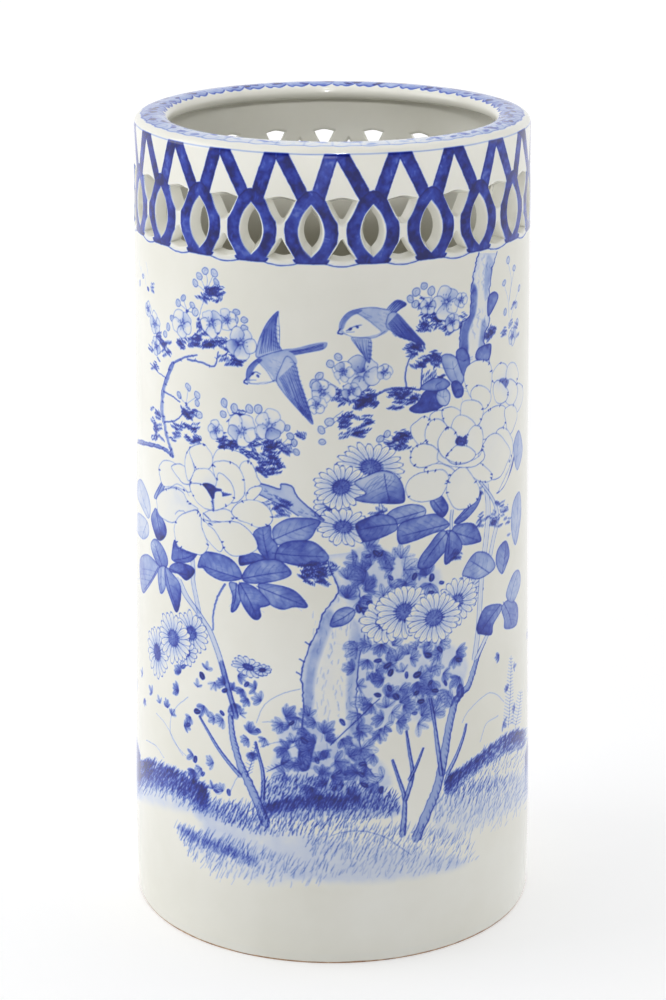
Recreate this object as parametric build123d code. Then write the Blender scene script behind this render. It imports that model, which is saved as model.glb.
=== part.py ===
from build123d import *
import math
import os

# Umbrella stand: one fired, glazed porcelain cylinder with a pierced gallery
# under an inturned rim.  Millimetres, +Z up, origin at the centre of the face
# that it stands on, front of the decoration towards -Y.
#
# The piece is thrown and luted from sections before firing.  Each section is
# a node of its own and meets the next one on a flat ring.

# ---- driving dimensions --------------------------------------------------
HEIGHT = 610.0            # floor to the crest of the rim
WALL = 9.0                # wall thickness, glaze included

# outer surface (height, radius): tucked-in foot, slight swell, gentle taper
OUTER = [(0.0, 152.0), (3.0, 153.0), (22.0, 153.6), (60.0, 153.8),
         (130.0, 152.4), (200.0, 150.7), (270.0, 149.2), (340.0, 147.9),
         (400.0, 147.0), (465.0, 146.2), (528.0, 145.5), (598.0, 144.3)]

FOOT_HEIGHT = 8.0         # unglazed standing ring under the base
FOOT_INNER_R = 138.0
SLAB_TOP = 20.0           # upper face of the floor of the stand
COVE = 14.0               # inside fillet between floor and wall
WALL_JOIN = 270.0         # where the two thrown wall sections are luted
GALLERY_BOTTOM = 522.0    # plain wall below, pierced band above
RIM_BOTTOM = 598.0        # underside of the rim flange

RIM_CREST_R = 128.3       # radius of the highest circle of the rim
RIM_LIP_R = 118.6         # smallest radius, the mouth of the stand
RIM_LIP_Z = 603.5

# gallery: 22 pointed loops, each with a lens-shaped opening, and between two
# loops an upper and a lower opening either side of a crossed bridge of clay.
# Eight loops are set out a little wider than the rest, as they are by hand.
WIDE_FIRST = -56.6        # degrees from the front, anticlockwise seen from below
WIDE_PITCH = 16.93
WIDE_COUNT = 8
LOOPS = 22
NARROW_PITCH = (360.0 - WIDE_PITCH * (WIDE_COUNT - 1)) / (LOOPS - WIDE_COUNT + 1)

LENS_BOTTOM, LENS_TOP = 533.8, 568.4
LENS_HALF = 8.0           # half width of the lens opening
UP_POINT, UP_TOP = 556.8, 573.4
UP_HALF = 10.8            # half width of the upper opening at its shoulders
LOW_APEX, LOW_BOTTOM = 545.4, 531.2
LOW_HALF = 9.2            # half width of the lower opening at its sill


def loop_angles():
    a = [WIDE_FIRST + WIDE_PITCH * i for i in range(WIDE_COUNT)]
    while len(a) < LOOPS:
        a.append(a[-1] + NARROW_PITCH)
    return a


# ---- body of revolution --------------------------------------------------
with BuildSketch(Plane.XZ) as vessel_profile:
    with BuildLine():
        outer_pts = [(r, z) for z, r in OUTER]
        Polyline(outer_pts[0], outer_pts[1])
        outer_curve = Spline(*outer_pts[1:])
        r_top = OUTER[-1][1]
        Line((r_top, RIM_BOTTOM), (r_top - WALL, RIM_BOTTOM))
        inner_pts = [(r - WALL, z) for z, r in reversed(OUTER) if z >= 60.0]
        r_low = 153.6 - WALL
        Spline(*inner_pts, (r_low + 0.1, SLAB_TOP + COVE))
        ThreePointArc((r_low + 0.1, SLAB_TOP + COVE),
                      (r_low + 0.1 - COVE * (1 - math.cos(math.pi / 4)),
                       SLAB_TOP + COVE * (1 - math.sin(math.pi / 4))),
                      (r_low + 0.1 - COVE, SLAB_TOP))
        Polyline((r_low + 0.1 - COVE, SLAB_TOP), (0, SLAB_TOP), (0, FOOT_HEIGHT),
                 (FOOT_INNER_R + 1.5, FOOT_HEIGHT), (FOOT_INNER_R + 3.0, 0.0),
                 outer_pts[0])
    make_face()
vessel = revolve(vessel_profile.sketch, Axis.Z, 360)


def band(z0, z1):
    """The part of the vessel between two heights."""
    slab = Pos(0, 0, (z0 + z1) / 2) * Cylinder(200, z1 - z0)
    return vessel & slab


foot_ring = band(-1.0, FOOT_HEIGHT)
base_slab = band(FOOT_HEIGHT, SLAB_TOP)
lower_wall = band(SLAB_TOP, WALL_JOIN)
upper_wall = band(WALL_JOIN, GALLERY_BOTTOM)
gallery = band(GALLERY_BOTTOM, RIM_BOTTOM)

# ---- rim flange ----------------------------------------------------------
with BuildSketch(Plane.XZ) as rim_profile:
    with BuildLine():
        Line((RIM_LIP_R + 4.4, RIM_BOTTOM), (r_top, RIM_BOTTOM))
        Line((r_top, RIM_BOTTOM), (r_top - 0.2, 603.4))
        Spline((r_top - 0.2, 603.4), (142.9, 606.3), (139.6, 608.5),
               (134.2, 609.7), (RIM_CREST_R, HEIGHT),
               tangents=((-0.04, 1.0), (-1.0, 0.0)))
        Spline((RIM_CREST_R, HEIGHT), (123.6, 609.0), (120.1, 606.8),
               (RIM_LIP_R, RIM_LIP_Z),
               tangents=((-1.0, 0.0), (0.0, -1.0)))
        Spline((RIM_LIP_R, RIM_LIP_Z), (119.8, 599.9),
               (RIM_LIP_R + 4.4, RIM_BOTTOM),
               tangents=((0.0, -1.0), (1.0, 0.0)))
    make_face()
rim_flange = revolve(rim_profile.sketch, Axis.Z, 360)

# ---- openings of the gallery ---------------------------------------------


def lens():
    zm = (LENS_BOTTOM + LENS_TOP) / 2 - 0.8
    with BuildSketch() as s:
        with BuildLine():
            Spline((0, LENS_BOTTOM), (LENS_HALF * 0.72, LENS_BOTTOM + 7.0),
                   (LENS_HALF, zm), (LENS_HALF * 0.70, LENS_TOP - 8.0),
                   (0, LENS_TOP))
            Spline((0, LENS_TOP), (-LENS_HALF * 0.70, LENS_TOP - 8.0),
                   (-LENS_HALF, zm), (-LENS_HALF * 0.72, LENS_BOTTOM + 7.0),
                   (0, LENS_BOTTOM))
        make_face()
    return s.sketch


def upper_gap():
    with BuildSketch() as s:
        with BuildLine():
            ThreePointArc((-UP_HALF, UP_TOP - 1.4), (0, UP_TOP + 0.6),
                          (UP_HALF, UP_TOP - 1.4))
            ThreePointArc((UP_HALF, UP_TOP - 1.4), (7.0, UP_POINT + 8.0),
                          (2.2, UP_POINT))
            ThreePointArc((2.2, UP_POINT), (0, UP_POINT - 1.0),
                          (-2.2, UP_POINT))
            ThreePointArc((-2.2, UP_POINT), (-7.0, UP_POINT + 8.0),
                          (-UP_HALF, UP_TOP - 1.4))
        make_face()
    return s.sketch


def lower_gap():
    with BuildSketch() as s:
        with BuildLine():
            ThreePointArc((-LOW_HALF, LOW_BOTTOM + 0.8), (0, LOW_BOTTOM - 0.8),
                          (LOW_HALF, LOW_BOTTOM + 0.8))
            ThreePointArc((LOW_HALF, LOW_BOTTOM + 0.8), (4.4, LOW_APEX - 6.4),
                          (0.7, LOW_APEX))
            Line((0.7, LOW_APEX), (-0.7, LOW_APEX))
            ThreePointArc((-0.7, LOW_APEX), (-4.4, LOW_APEX - 6.4),
                          (-LOW_HALF, LOW_BOTTOM + 0.8))
        make_face()
    return s.sketch


def cutter(sketch, degrees):
    """A radial prism with the sketch's outline, at an angle from the front."""
    # sketch x runs along the wall, sketch y is height, prism runs outwards
    face = Plane(origin=(0, -125, 0), x_dir=(1, 0, 0), z_dir=(0, -1, 0)) * sketch
    prism = extrude(face, amount=30)
    return Rot(0, 0, degrees) * prism


angles = loop_angles()
tools = []
for i, a in enumerate(angles):
    nxt = angles[(i + 1) % LOOPS] + (360.0 if i == LOOPS - 1 else 0.0)
    mid = (a + nxt) / 2
    tools.append(cutter(lens(), a))
    tools.append(cutter(upper_gap(), mid))
    tools.append(cutter(lower_gap(), mid))
pierced_gallery = gallery - tools

# ---- write ---------------------------------------------------------------
os.makedirs("parts", exist_ok=True)
for name, shape in [("foot_ring", foot_ring), ("base_slab", base_slab),
                    ("lower_wall", lower_wall), ("upper_wall", upper_wall),
                    ("pierced_gallery", pierced_gallery),
                    ("rim_flange", rim_flange)]:
    solids = shape.solids()
    export_step(solids[0] if len(solids) == 1 else Compound(children=solids),
                f"parts/{name}.step")
    print(name, len(solids), round(sum(s.volume for s in solids) / 1000, 1), "cm3")
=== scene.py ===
# Blue-and-white porcelain umbrella stand: looks.
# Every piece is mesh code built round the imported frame, in metres.
import bpy, math
import numpy as np
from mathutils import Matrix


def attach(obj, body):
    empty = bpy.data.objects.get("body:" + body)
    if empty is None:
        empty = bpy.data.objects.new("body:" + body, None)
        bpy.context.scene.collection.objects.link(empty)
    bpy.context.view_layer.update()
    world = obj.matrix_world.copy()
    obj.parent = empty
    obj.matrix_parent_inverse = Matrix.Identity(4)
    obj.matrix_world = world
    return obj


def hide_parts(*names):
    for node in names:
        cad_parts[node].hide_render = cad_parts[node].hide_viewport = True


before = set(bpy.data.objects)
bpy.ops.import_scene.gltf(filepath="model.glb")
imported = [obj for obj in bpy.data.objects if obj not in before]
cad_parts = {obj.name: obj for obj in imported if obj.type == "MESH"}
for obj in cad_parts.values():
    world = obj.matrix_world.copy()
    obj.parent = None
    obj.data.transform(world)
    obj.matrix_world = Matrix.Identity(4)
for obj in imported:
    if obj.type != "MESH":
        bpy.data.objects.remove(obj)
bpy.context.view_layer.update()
rng = np.random.default_rng(20417)

# ------------------------------------------------------------------ sizes, mm
OUT_Z = np.array([0.0, 3.0, 22.0, 60.0, 130.0, 200.0, 270.0, 340.0, 400.0, 465.0, 528.0, 598.0])
OUT_R = np.array([152.0, 153.0, 153.6, 153.8, 152.4, 150.7, 149.2, 147.9, 147.0, 146.2, 145.5, 144.3])
WALL = 9.0
Z_FOOT, Z_SLAB, Z_JOIN, Z_GAL, Z_RIM = 8.0, 20.0, 270.0, 522.0, 598.0
COVE = 14.0
LOOPS = 22
WIDE_FIRST, WIDE_PITCH, WIDE_COUNT = -56.6, 16.93, 8
NARROW = (360.0 - WIDE_PITCH * (WIDE_COUNT - 1)) / (LOOPS - WIDE_COUNT + 1)


def _slopes(x, y):
    h = np.diff(x); d = np.diff(y) / h
    m = np.zeros_like(y)
    for i in range(1, len(x) - 1):
        if d[i - 1] * d[i] > 0:
            w1 = 2 * h[i] + h[i - 1]; w2 = h[i] + 2 * h[i - 1]
            m[i] = (w1 + w2) / (w1 / d[i - 1] + w2 / d[i])
    m[0] = d[0]; m[-1] = d[-1]
    return m


_M = _slopes(OUT_Z, OUT_R)


def radius(z):
    """Outer radius at a height, a smooth curve through the table."""
    z = np.clip(np.asarray(z, float), 0.0, OUT_Z[-1])
    i = np.clip(np.searchsorted(OUT_Z, z, side="right") - 1, 0, len(OUT_Z) - 2)
    h = OUT_Z[i + 1] - OUT_Z[i]; t = (z - OUT_Z[i]) / h
    a, b = OUT_R[i], OUT_R[i + 1]
    return ((2 * t**3 - 3 * t**2 + 1) * a + (t**3 - 2 * t**2 + t) * h * _M[i]
            + (-2 * t**3 + 3 * t**2) * b + (t**3 - t**2) * h * _M[i + 1])


# --------------------------------------------------------------------- camera
CAM_F, CAM_TILT, CAM_D, CAM_H, CAM_X = 2750.0, math.radians(17.7166), 1990.98, 948.23, -0.691
cam_data = bpy.data.cameras.new("camera")
cam = bpy.data.objects.new("camera", cam_data)
bpy.context.scene.collection.objects.link(cam)
cam_data.sensor_fit = "VERTICAL"
cam_data.sensor_height = 36.0
cam_data.lens = CAM_F / 1000.0 * 36.0
cam_data.clip_end = 50.0
cam.location = (0.0, -CAM_D / 1000.0, CAM_H / 1000.0)
cam.rotation_euler = (math.pi / 2 - CAM_TILT, 0.0, math.atan(CAM_X / CAM_F))
bpy.context.scene.camera = cam

# ------------------------------------------------------- the painter's canvas
# The decoration is brushed on a flat canvas: columns run round the wall,
# rows run up it.  0 is bare glaze, 1 is the deepest cobalt.
RES = 0.40
NU, NV = 2328, 1520
ink = np.zeros((NV, NU), np.float32)


def _value_noise(shape, cell, seed):
    g = np.random.default_rng(seed)
    n0, n1 = max(2, shape[0] // cell + 2), max(2, shape[1] // cell)
    lat = g.random((n0, n1)).astype(np.float32)
    y = np.arange(shape[0]) / cell; x = np.arange(shape[1]) / (shape[1] / n1)
    y0 = y.astype(int); x0 = x.astype(int) % n1
    ty = (y - y0)[:, None]; tx = (x - x.astype(int))[None]
    ty = ty * ty * (3 - 2 * ty); tx = tx * tx * (3 - 2 * tx)
    y1 = np.minimum(y0 + 1, n0 - 1); x1 = (x0 + 1) % n1
    a = lat[y0][:, x0]; b = lat[y0][:, x1]; c = lat[y1][:, x0]; d = lat[y1][:, x1]
    return (a * (1 - tx) + b * tx) * (1 - ty) + (c * (1 - tx) + d * tx) * ty


MOTT = (0.5 * _value_noise((NV, NU), 22, 1) + 0.3 * _value_noise((NV, NU), 9, 2)
        + 0.2 * _value_noise((NV, NU), 4, 3))
MOTT = (MOTT - MOTT.mean()) / MOTT.std()
MOTT = np.clip(1.0 + 0.11 * MOTT, 0.6, 1.4).astype(np.float32)


Z_ZERO = 0.0                   # height of the canvas's first row
SHIFT, MIRROR = 0.0, 1.0       # where round the wall the next motifs go


def to_canvas(theta, z):
    """radians from the front and millimetres up -> canvas columns and rows"""
    return np.stack([(np.asarray(theta) / (2 * math.pi) + 0.5) * NU,
                     (np.asarray(z) - Z_ZERO) / RES - 0.5], -1)


def front(pts):
    """Points laid out as seen from the camera, in its 666 x 1000 view, put on the wall."""
    pts = np.atleast_2d(np.asarray(pts, float))
    dx = (pts[:, 0] - 333.0 - CAM_X) / CAM_F; dy = -(pts[:, 1] - 500.0) / CAM_F
    c, s = math.cos(CAM_TILT), math.sin(CAM_TILT)
    vx, vy, vz = dx, c + s * dy, -s + c * dy
    R = np.full(len(pts), 149.0)
    for _ in range(12):
        a = vx**2 + vy**2; b = -2 * CAM_D * vy; k = CAM_D**2 - R**2
        disc = np.maximum(b * b - 4 * a * k, 0.0)
        t = (-b - np.sqrt(disc)) / (2 * a)
        z = CAM_H + t * vz
        R = radius(z)
    return to_canvas(SHIFT + MIRROR * np.arctan2(t * vx, CAM_D - t * vy), z)


def at(cx, cy, size=1.0, rot=0.0):
    """A frame lying on the wall, in mm, centred where the view shows (cx, cy)."""
    c = front([(cx, cy)])[0]
    cr, sr = math.cos(math.radians(rot)), math.sin(math.radians(rot))

    def place(pts):
        p = np.atleast_2d(np.asarray(pts, float)) * size
        x = p[:, 0] * cr - p[:, 1] * sr; y = p[:, 0] * sr + p[:, 1] * cr
        return np.stack([c[0] + MIRROR * x / RES, c[1] + y / RES], -1)
    return place


def local(theta_deg, z0, size=0.70, rot=0.0, flip=1.0):
    """A frame of its own on the wall: x to the right, y up, in view-sized units."""
    cr, sr = math.cos(math.radians(rot)), math.sin(math.radians(rot))

    def place(pts):
        p = np.atleast_2d(np.asarray(pts, float)) * size
        x = flip * (p[:, 0] * cr - p[:, 1] * sr); y = p[:, 0] * sr + p[:, 1] * cr
        z = z0 + y
        return to_canvas(math.radians(theta_deg) + x / 149.0, z)
    return place


def seen(cx, cy, size=1.0, rot=0.0, squash=1.0):
    """A frame centred on a point of the camera's view, y up."""
    cr, sr = math.cos(math.radians(rot)), math.sin(math.radians(rot))

    def place(pts):
        p = np.atleast_2d(np.asarray(pts, float)) * size
        x = p[:, 0] * cr - p[:, 1] * sr; y = p[:, 0] * sr + p[:, 1] * cr
        return front(np.stack([cx + x * squash, cy - y], -1))
    return place


def _window(P, pad):
    u0 = int(math.floor(P[:, 0].min() - pad)); u1 = int(math.ceil(P[:, 0].max() + pad)) + 1
    v0 = max(int(math.floor(P[:, 1].min() - pad)), 0); v1 = min(int(math.ceil(P[:, 1].max() + pad)) + 1, NV)
    if u1 - u0 > NU:
        u1 = u0 + NU
    return u0, u1, v0, v1


def _lay(u0, u1, v0, v1, cov, a, how):
    if v1 <= v0 or u1 <= u0:
        return
    cols = np.arange(u0, u1) % NU
    block = ink[v0:v1][:, cols]
    if how == "add":
        block = block + (1 - block) * cov * a
    elif how == "wet":
        block = block + (1 - block) * np.clip(cov * a * MOTT[v0:v1][:, cols], 0, 1)
    elif how == "max":
        block = np.maximum(block, cov * a)
    elif how == "wipe":
        block = block * (1 - cov * a)
    ink[v0:v1, cols] = block


def brush(P, w=0.7, a=0.8, how="add", taper=0.0):
    """A stroke through canvas points P; w is its width in mm, single or per point."""
    P = np.asarray(P, float)
    n = len(P)
    if n < 2:
        return
    W = np.broadcast_to(np.asarray(w, float), (n,)) / RES / 2.0
    A = np.broadcast_to(np.asarray(a, float), (n,))
    if taper:
        t = np.linspace(0, 1, n)
        W = W * np.clip(1 - taper * np.abs(2 * t - 1) ** 2, 0.12, 1)
    pad = W.max() + 2
    u0, u1, v0, v1 = _window(P, pad)
    if v1 <= v0:
        return
    cov = np.zeros((v1 - v0, u1 - u0), np.float32)
    for k in range(n - 1):
        ax, ay = P[k]; bx, by = P[k + 1]
        r = max(W[k], W[k + 1]) + 1.2
        x0 = max(int(min(ax, bx) - r) - u0, 0); x1 = min(int(max(ax, bx) + r) + 2 - u0, cov.shape[1])
        y0 = max(int(min(ay, by) - r) - v0, 0); y1 = min(int(max(ay, by) + r) + 2 - v0, cov.shape[0])
        if x1 <= x0 or y1 <= y0:
            continue
        X = np.arange(x0, x1, dtype=np.float32)[None] + (u0 - ax)
        Y = np.arange(y0, y1, dtype=np.float32)[:, None] + (v0 - ay)
        dx, dy = bx - ax, by - ay
        L = dx * dx + dy * dy + 1e-9
        t = np.clip((X * dx + Y * dy) / L, 0, 1)
        d = np.hypot(X - t * dx, Y - t * dy)
        hw = W[k] + (W[k + 1] - W[k]) * t
        c = np.clip(hw - d + 0.5, 0, 1) * np.minimum(1, (hw * 2 + 0.15)) * (A[k] + (A[k + 1] - A[k]) * t)
        sub = cov[y0:y1, x0:x1]
        np.maximum(sub, c, out=sub)
    _lay(u0, u1, v0, v1, cov, 1.0, how)


def _field(P, pad):
    """Signed distance, in canvas cells, inside positive, of a closed outline."""
    u0, u1, v0, v1 = _window(P, pad)
    if v1 <= v0:
        return None
    X = np.arange(u0, u1, dtype=np.float32)[None]; Y = np.arange(v0, v1, dtype=np.float32)[:, None]
    inside = np.zeros((v1 - v0, u1 - u0), bool)
    best = np.full(inside.shape, 1e9, np.float32)
    Q = np.roll(P, -1, 0)
    for (ax, ay), (bx, by) in zip(P, Q):
        dx, dy = bx - ax, by - ay
        t = np.clip(((X - ax) * dx + (Y - ay) * dy) / (dx * dx + dy * dy + 1e-9), 0, 1)
        np.minimum(best, (X - ax - t * dx) ** 2 + (Y - ay - t * dy) ** 2, out=best)
        if ay != by:
            cross = ((ay > Y) != (by > Y)) & (X < dx * (Y - ay) / dy + ax)
            inside ^= cross
    d = np.sqrt(best)
    return u0, u1, v0, v1, np.where(inside, d, -d)


def wash(P, a=0.4, rim=0.0, rim_w=1.2, soft=0.6, grad=None, how="wet"):
    """A filled shape; rim is extra ink pooled at its edge, grad=(x0,y0,x1,y1,a0,a1) fades it."""
    f = _field(np.asarray(P, float), 2 + soft / RES)
    if f is None:
        return
    u0, u1, v0, v1, sd = f
    cov = np.clip(sd / (soft / RES) + 0.5, 0, 1)
    val = a
    if grad is not None:
        (gx0, gy0), (gx1, gy1), a0, a1 = grad
        X = np.arange(u0, u1)[None]; Y = np.arange(v0, v1)[:, None]
        dx, dy = gx1 - gx0, gy1 - gy0
        t = np.clip(((X - gx0) * dx + (Y - gy0) * dy) / (dx * dx + dy * dy + 1e-9), 0, 1)
        val = a0 + (a1 - a0) * t
    if rim:
        val = val + rim * np.exp(-np.maximum(sd, 0) * RES / rim_w)
    _lay(u0, u1, v0, v1, cov * val, 1.0, how)


def reserve(P, keep=0.0, soft=0.5):
    """Leaves a shape white: what was painted under it is wiped away."""
    f = _field(np.asarray(P, float), 3)
    if f is None:
        return
    u0, u1, v0, v1, sd = f
    _lay(u0, u1, v0, v1, np.clip(sd / (soft / RES) + 0.5, 0, 1) * (1 - keep), 1.0, "wipe")


def bez(pts, n=8):
    """A smooth line through points."""
    p = np.asarray(pts, float)
    if len(p) < 3:
        t = np.linspace(0, 1, n + 1)[:, None]
        return p[0] * (1 - t) + p[-1] * t
    q = np.vstack([2 * p[0] - p[1], p, 2 * p[-1] - p[-2]])
    out = []
    for i in range(1, len(q) - 2):
        t = np.linspace(0, 1, n, endpoint=False)[:, None]
        a, b, c, d = q[i - 1], q[i], q[i + 1], q[i + 2]
        out.append(0.5 * (2 * b + (c - a) * t + (2 * a - 5 * b + 4 * c - d) * t**2 + (3 * b - a - 3 * c + d) * t**3))
    out.append(p[-1:])
    return np.vstack(out)


def ring(pts, n=6):
    """A smooth closed outline through points."""
    p = np.asarray(pts, float); m = len(p); out = []
    for i in range(m):
        a, b, c, d = p[i - 1], p[i], p[(i + 1) % m], p[(i + 2) % m]
        t = np.linspace(0, 1, n, endpoint=False)[:, None]
        out.append(0.5 * (2 * b + (c - a) * t + (2 * a - 5 * b + 4 * c - d) * t**2 + (3 * b - a - 3 * c + d) * t**3))
    return np.vstack(out)


def turn(p, deg, cx=0.0, cy=0.0):
    a = math.radians(deg); c, s = math.cos(a), math.sin(a)
    p = np.atleast_2d(np.asarray(p, float))
    return np.stack([cx + p[:, 0] * c - p[:, 1] * s, cy + p[:, 0] * s + p[:, 1] * c], -1)



# ---------------------------------------------------------------- mesh pieces
FRONT_HALF = math.radians(102.0)
N_FRONT, N_BACK = 888, 480
N_COL = N_FRONT + N_BACK
_t = np.concatenate([np.linspace(-FRONT_HALF, FRONT_HALF, N_FRONT, endpoint=False),
                     np.linspace(FRONT_HALF, 2 * math.pi - FRONT_HALF, N_BACK, endpoint=False)])
THETA = _t                                    # one angle for each lattice column
THETA_END = np.append(_t, 2 * math.pi - FRONT_HALF)


def sample(field, theta, z, z0=0.0):
    """Bilinear reading of a canvas at angles and heights."""
    u = ((theta / (2 * math.pi) + 0.5) % 1.0) * NU - 0.5
    v = np.clip((z - z0) / RES - 0.5, 0, field.shape[0] - 1.001)
    i0 = np.floor(u).astype(int); fu = (u - i0).astype(np.float32)
    j0 = np.floor(v).astype(int); fv = (v - j0).astype(np.float32)
    i1 = (i0 + 1) % NU; i0 = i0 % NU; j1 = np.minimum(j0 + 1, field.shape[0] - 1)
    return ((field[j0, i0] * (1 - fu) + field[j0, i1] * fu) * (1 - fv)
            + (field[j1, i0] * (1 - fu) + field[j1, i1] * fu) * fv)


class Shell:
    """Collects sheets of vertices and faces, then makes one mesh of them."""

    def __init__(self):
        self.co, self.no, self.val, self.loops, self.sizes, self.uv = [], [], [], [], [], []
        self.n = 0

    def add(self, co, no, val, loops, sizes, uv):
        """co, no: n x 3; loops: flat vertex numbers; sizes: corners of each face; uv: for each loop"""
        self.co.append(np.asarray(co, np.float32)); self.no.append(np.asarray(no, np.float32))
        self.val.append(np.asarray(val, np.float32)); self.loops.append(np.asarray(loops, np.int64) + self.n)
        self.sizes.append(np.asarray(sizes, np.int64)); self.uv.append(np.asarray(uv, np.float32))
        self.n += len(co)

    def lathe(self, rz, normals, val, n_cols, v_band, flip=False, theta=None):
        """A surface of revolution through profile points (r, z), with normals (nr, nz)."""
        th = np.linspace(0, 2 * math.pi, n_cols, endpoint=False) - math.pi if theta is None else theta
        nc, npf = len(th), len(rz)
        r = rz[:, 0][:, None]; z = np.broadcast_to(rz[:, 1][:, None], (npf, nc))
        s, c = np.sin(th)[None], -np.cos(th)[None]
        co = np.stack([r * s, r * c, z], -1).reshape(-1, 3)
        nr = normals[:, 0][:, None]; nz = np.broadcast_to(normals[:, 1][:, None], (npf, nc))
        no = np.stack([nr * s, nr * c, nz], -1).reshape(-1, 3)
        if np.ndim(val) == 0:
            val = np.full(npf * nc, val, np.float32)
        i = np.arange(npf - 1)[:, None]; j = np.arange(nc)[None]
        a = i * nc + j; b = i * nc + (j + 1) % nc
        d = a + nc; e = b + nc
        q = np.stack([a, b, e, d] if not flip else [a, d, e, b], -1).reshape(-1, 4)
        L = np.concatenate([[0], np.cumsum(np.hypot(*np.diff(rz, axis=0).T))]); L = L / max(L[-1], 1e-6)
        ua = (j / nc + 0 * i); ub = ((j + 1) / nc + 0 * i)
        va = v_band[0] + (v_band[1] - v_band[0]) * (L[:-1][:, None] + 0 * j)
        vb = v_band[0] + (v_band[1] - v_band[0]) * (L[1:][:, None] + 0 * j)
        cu = [ua, ub, ub, ua] if not flip else [ua, ua, ub, ub]
        cv = [va, va, vb, vb] if not flip else [va, vb, vb, va]
        uv = np.stack([np.stack(cu, -1), np.stack(cv, -1)], -1).reshape(-1, 2)
        self.add(co, no, np.ravel(val), q.ravel(), np.full(len(q), 4), uv * [0.998, 1] + [0.001, 0])

    def build(self, name, material):
        co = np.concatenate(self.co) / 1000.0; no = np.concatenate(self.no); val = np.concatenate(self.val)
        loops = np.concatenate(self.loops); sizes = np.concatenate(self.sizes); uv = np.concatenate(self.uv)
        me = bpy.data.meshes.new(name)
        me.vertices.add(len(co)); me.vertices.foreach_set("co", co.astype(np.float32).ravel())
        me.loops.add(len(loops)); me.loops.foreach_set("vertex_index", loops.astype(np.int32))
        me.polygons.add(len(sizes))
        me.polygons.foreach_set("loop_start", np.concatenate([[0], np.cumsum(sizes)[:-1]]).astype(np.int32))
        me.update(calc_edges=True)
        me.polygons.foreach_set("use_smooth", np.ones(len(sizes), bool))
        me.uv_layers.new(name="OFBake").data.foreach_set("uv", uv.astype(np.float32).ravel())
        at = me.attributes.new("ink", "FLOAT", "POINT"); at.data.foreach_set("value", val.astype(np.float32))
        no /= np.maximum(np.linalg.norm(no, axis=1, keepdims=True), 1e-9)
        me.normals_split_custom_set_from_vertices(no.astype(np.float32))
        me.materials.append(material)
        ob = bpy.data.objects.new(name, me)
        bpy.context.scene.collection.objects.link(ob)
        return ob


def slope_normal(z):
    """Outward normal of the wall, as (radial, vertical)."""
    dr = (radius(z + 0.5) - radius(z - 0.5)) / (np.minimum(z + 0.5, OUT_Z[-1]) - np.maximum(z - 0.5, 0.0))
    m = np.sqrt(1 + dr * dr)
    return 1 / m, -dr / m


def sector_uv(col, row, ncol, nrow, sector):
    """The outer sheet lies in four patches, two by two, above a strip kept for the inside."""
    q = N_COL // 4 // 8 * 8
    lo = sector * q
    wid = np.where(sector == 3, N_COL - 3 * q, q)
    u = (col - lo) / wid; v = row / nrow
    return np.stack([0.003 + 0.494 * u + 0.5 * (sector % 2), 0.123 + 0.434 * v + 0.438 * (sector // 2)], -1)


def painted_sheet(shell, z_lo, z_hi, n_row, tol=0.045):
    """The outer wall between two heights: small cells where the brushwork is fine, large where it is bare."""
    zz = np.linspace(z_lo, z_hi, n_row + 1)
    G = sample(ink_soft, THETA[None] + 0 * zz[:, None], zz[:, None] + 0 * THETA[None])
    Gw = np.concatenate([G, G[:, :1]], 1)
    leaves = []
    alive = np.ones((n_row // 8, N_COL // 8), bool)
    for s in (8, 4, 2, 1):
        nr, nc = n_row // s, N_COL // s
        jj, ii = np.nonzero(alive)
        if s == 1:
            leaves.append((s, ii, jj)); break
        lo = np.full(len(ii), 9.0, np.float32); hi = np.full(len(ii), -9.0, np.float32)
        for a in range(s + 1):
            for b in range(s + 1):
                g = Gw[jj * s + a, ii * s + b]
                lo = np.minimum(lo, g); hi = np.maximum(hi, g)
        split = (hi - lo > tol) | (jj == 0) | (jj == nr - 1)
        leaves.append((s, ii[~split] * s, jj[~split] * s))
        nxt = np.zeros((nr * 2, nc * 2), bool)
        for a in (0, 1):
            for b in (0, 1):
                nxt[jj[split] * 2 + a, ii[split] * 2 + b] = True
        alive = nxt
    act = np.zeros((n_row + 1, N_COL), bool)
    for s, ii, jj in leaves:
        for a in (0, s):
            for b in (0, s):
                act[jj + a, (ii + b) % N_COL] = True
    idx = np.full(act.shape, -1, np.int64); idx[act] = np.arange(act.sum())
    rr, cc = np.nonzero(act)
    z = zz[rr]; th = THETA[cc]; R = radius(z); nr_, nz_ = slope_normal(z)
    co = np.stack([R * np.sin(th), -R * np.cos(th), z], -1)
    no = np.stack([nr_ * np.sin(th), -nr_ * np.cos(th), nz_], -1)
    L, S, U = [], [], []
    q = N_COL // 4 // 8 * 8
    for s, ii, jj in leaves:
        if not len(ii):
            continue
        k = np.arange(s)
        pi = np.concatenate([k, np.full(s, s), s - k, np.zeros(s, int)])
        pj = np.concatenate([np.zeros(s, int), k, np.full(s, s), s - k])
        C = ii[:, None] + pi[None]; Rw = jj[:, None] + pj[None]
        m = act[Rw, C % N_COL]
        L.append(idx[Rw, C % N_COL][m]); S.append(m.sum(1))
        sec = np.minimum(ii // q, 3)[:, None] + 0 * C
        U.append(sector_uv(C, Rw, N_COL, n_row, sec)[m])
    shell.add(co, no, G[act], np.concatenate(L), np.concatenate(S), np.concatenate(U))


def inside_painted_shade(z):
    """Painted shade on the inside: greyer deeper down, where less light reaches; stored as a negative amount of ink."""
    return -np.clip((526.0 - np.asarray(z, float)) / 40.0, 0.0, 1.0)


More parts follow.
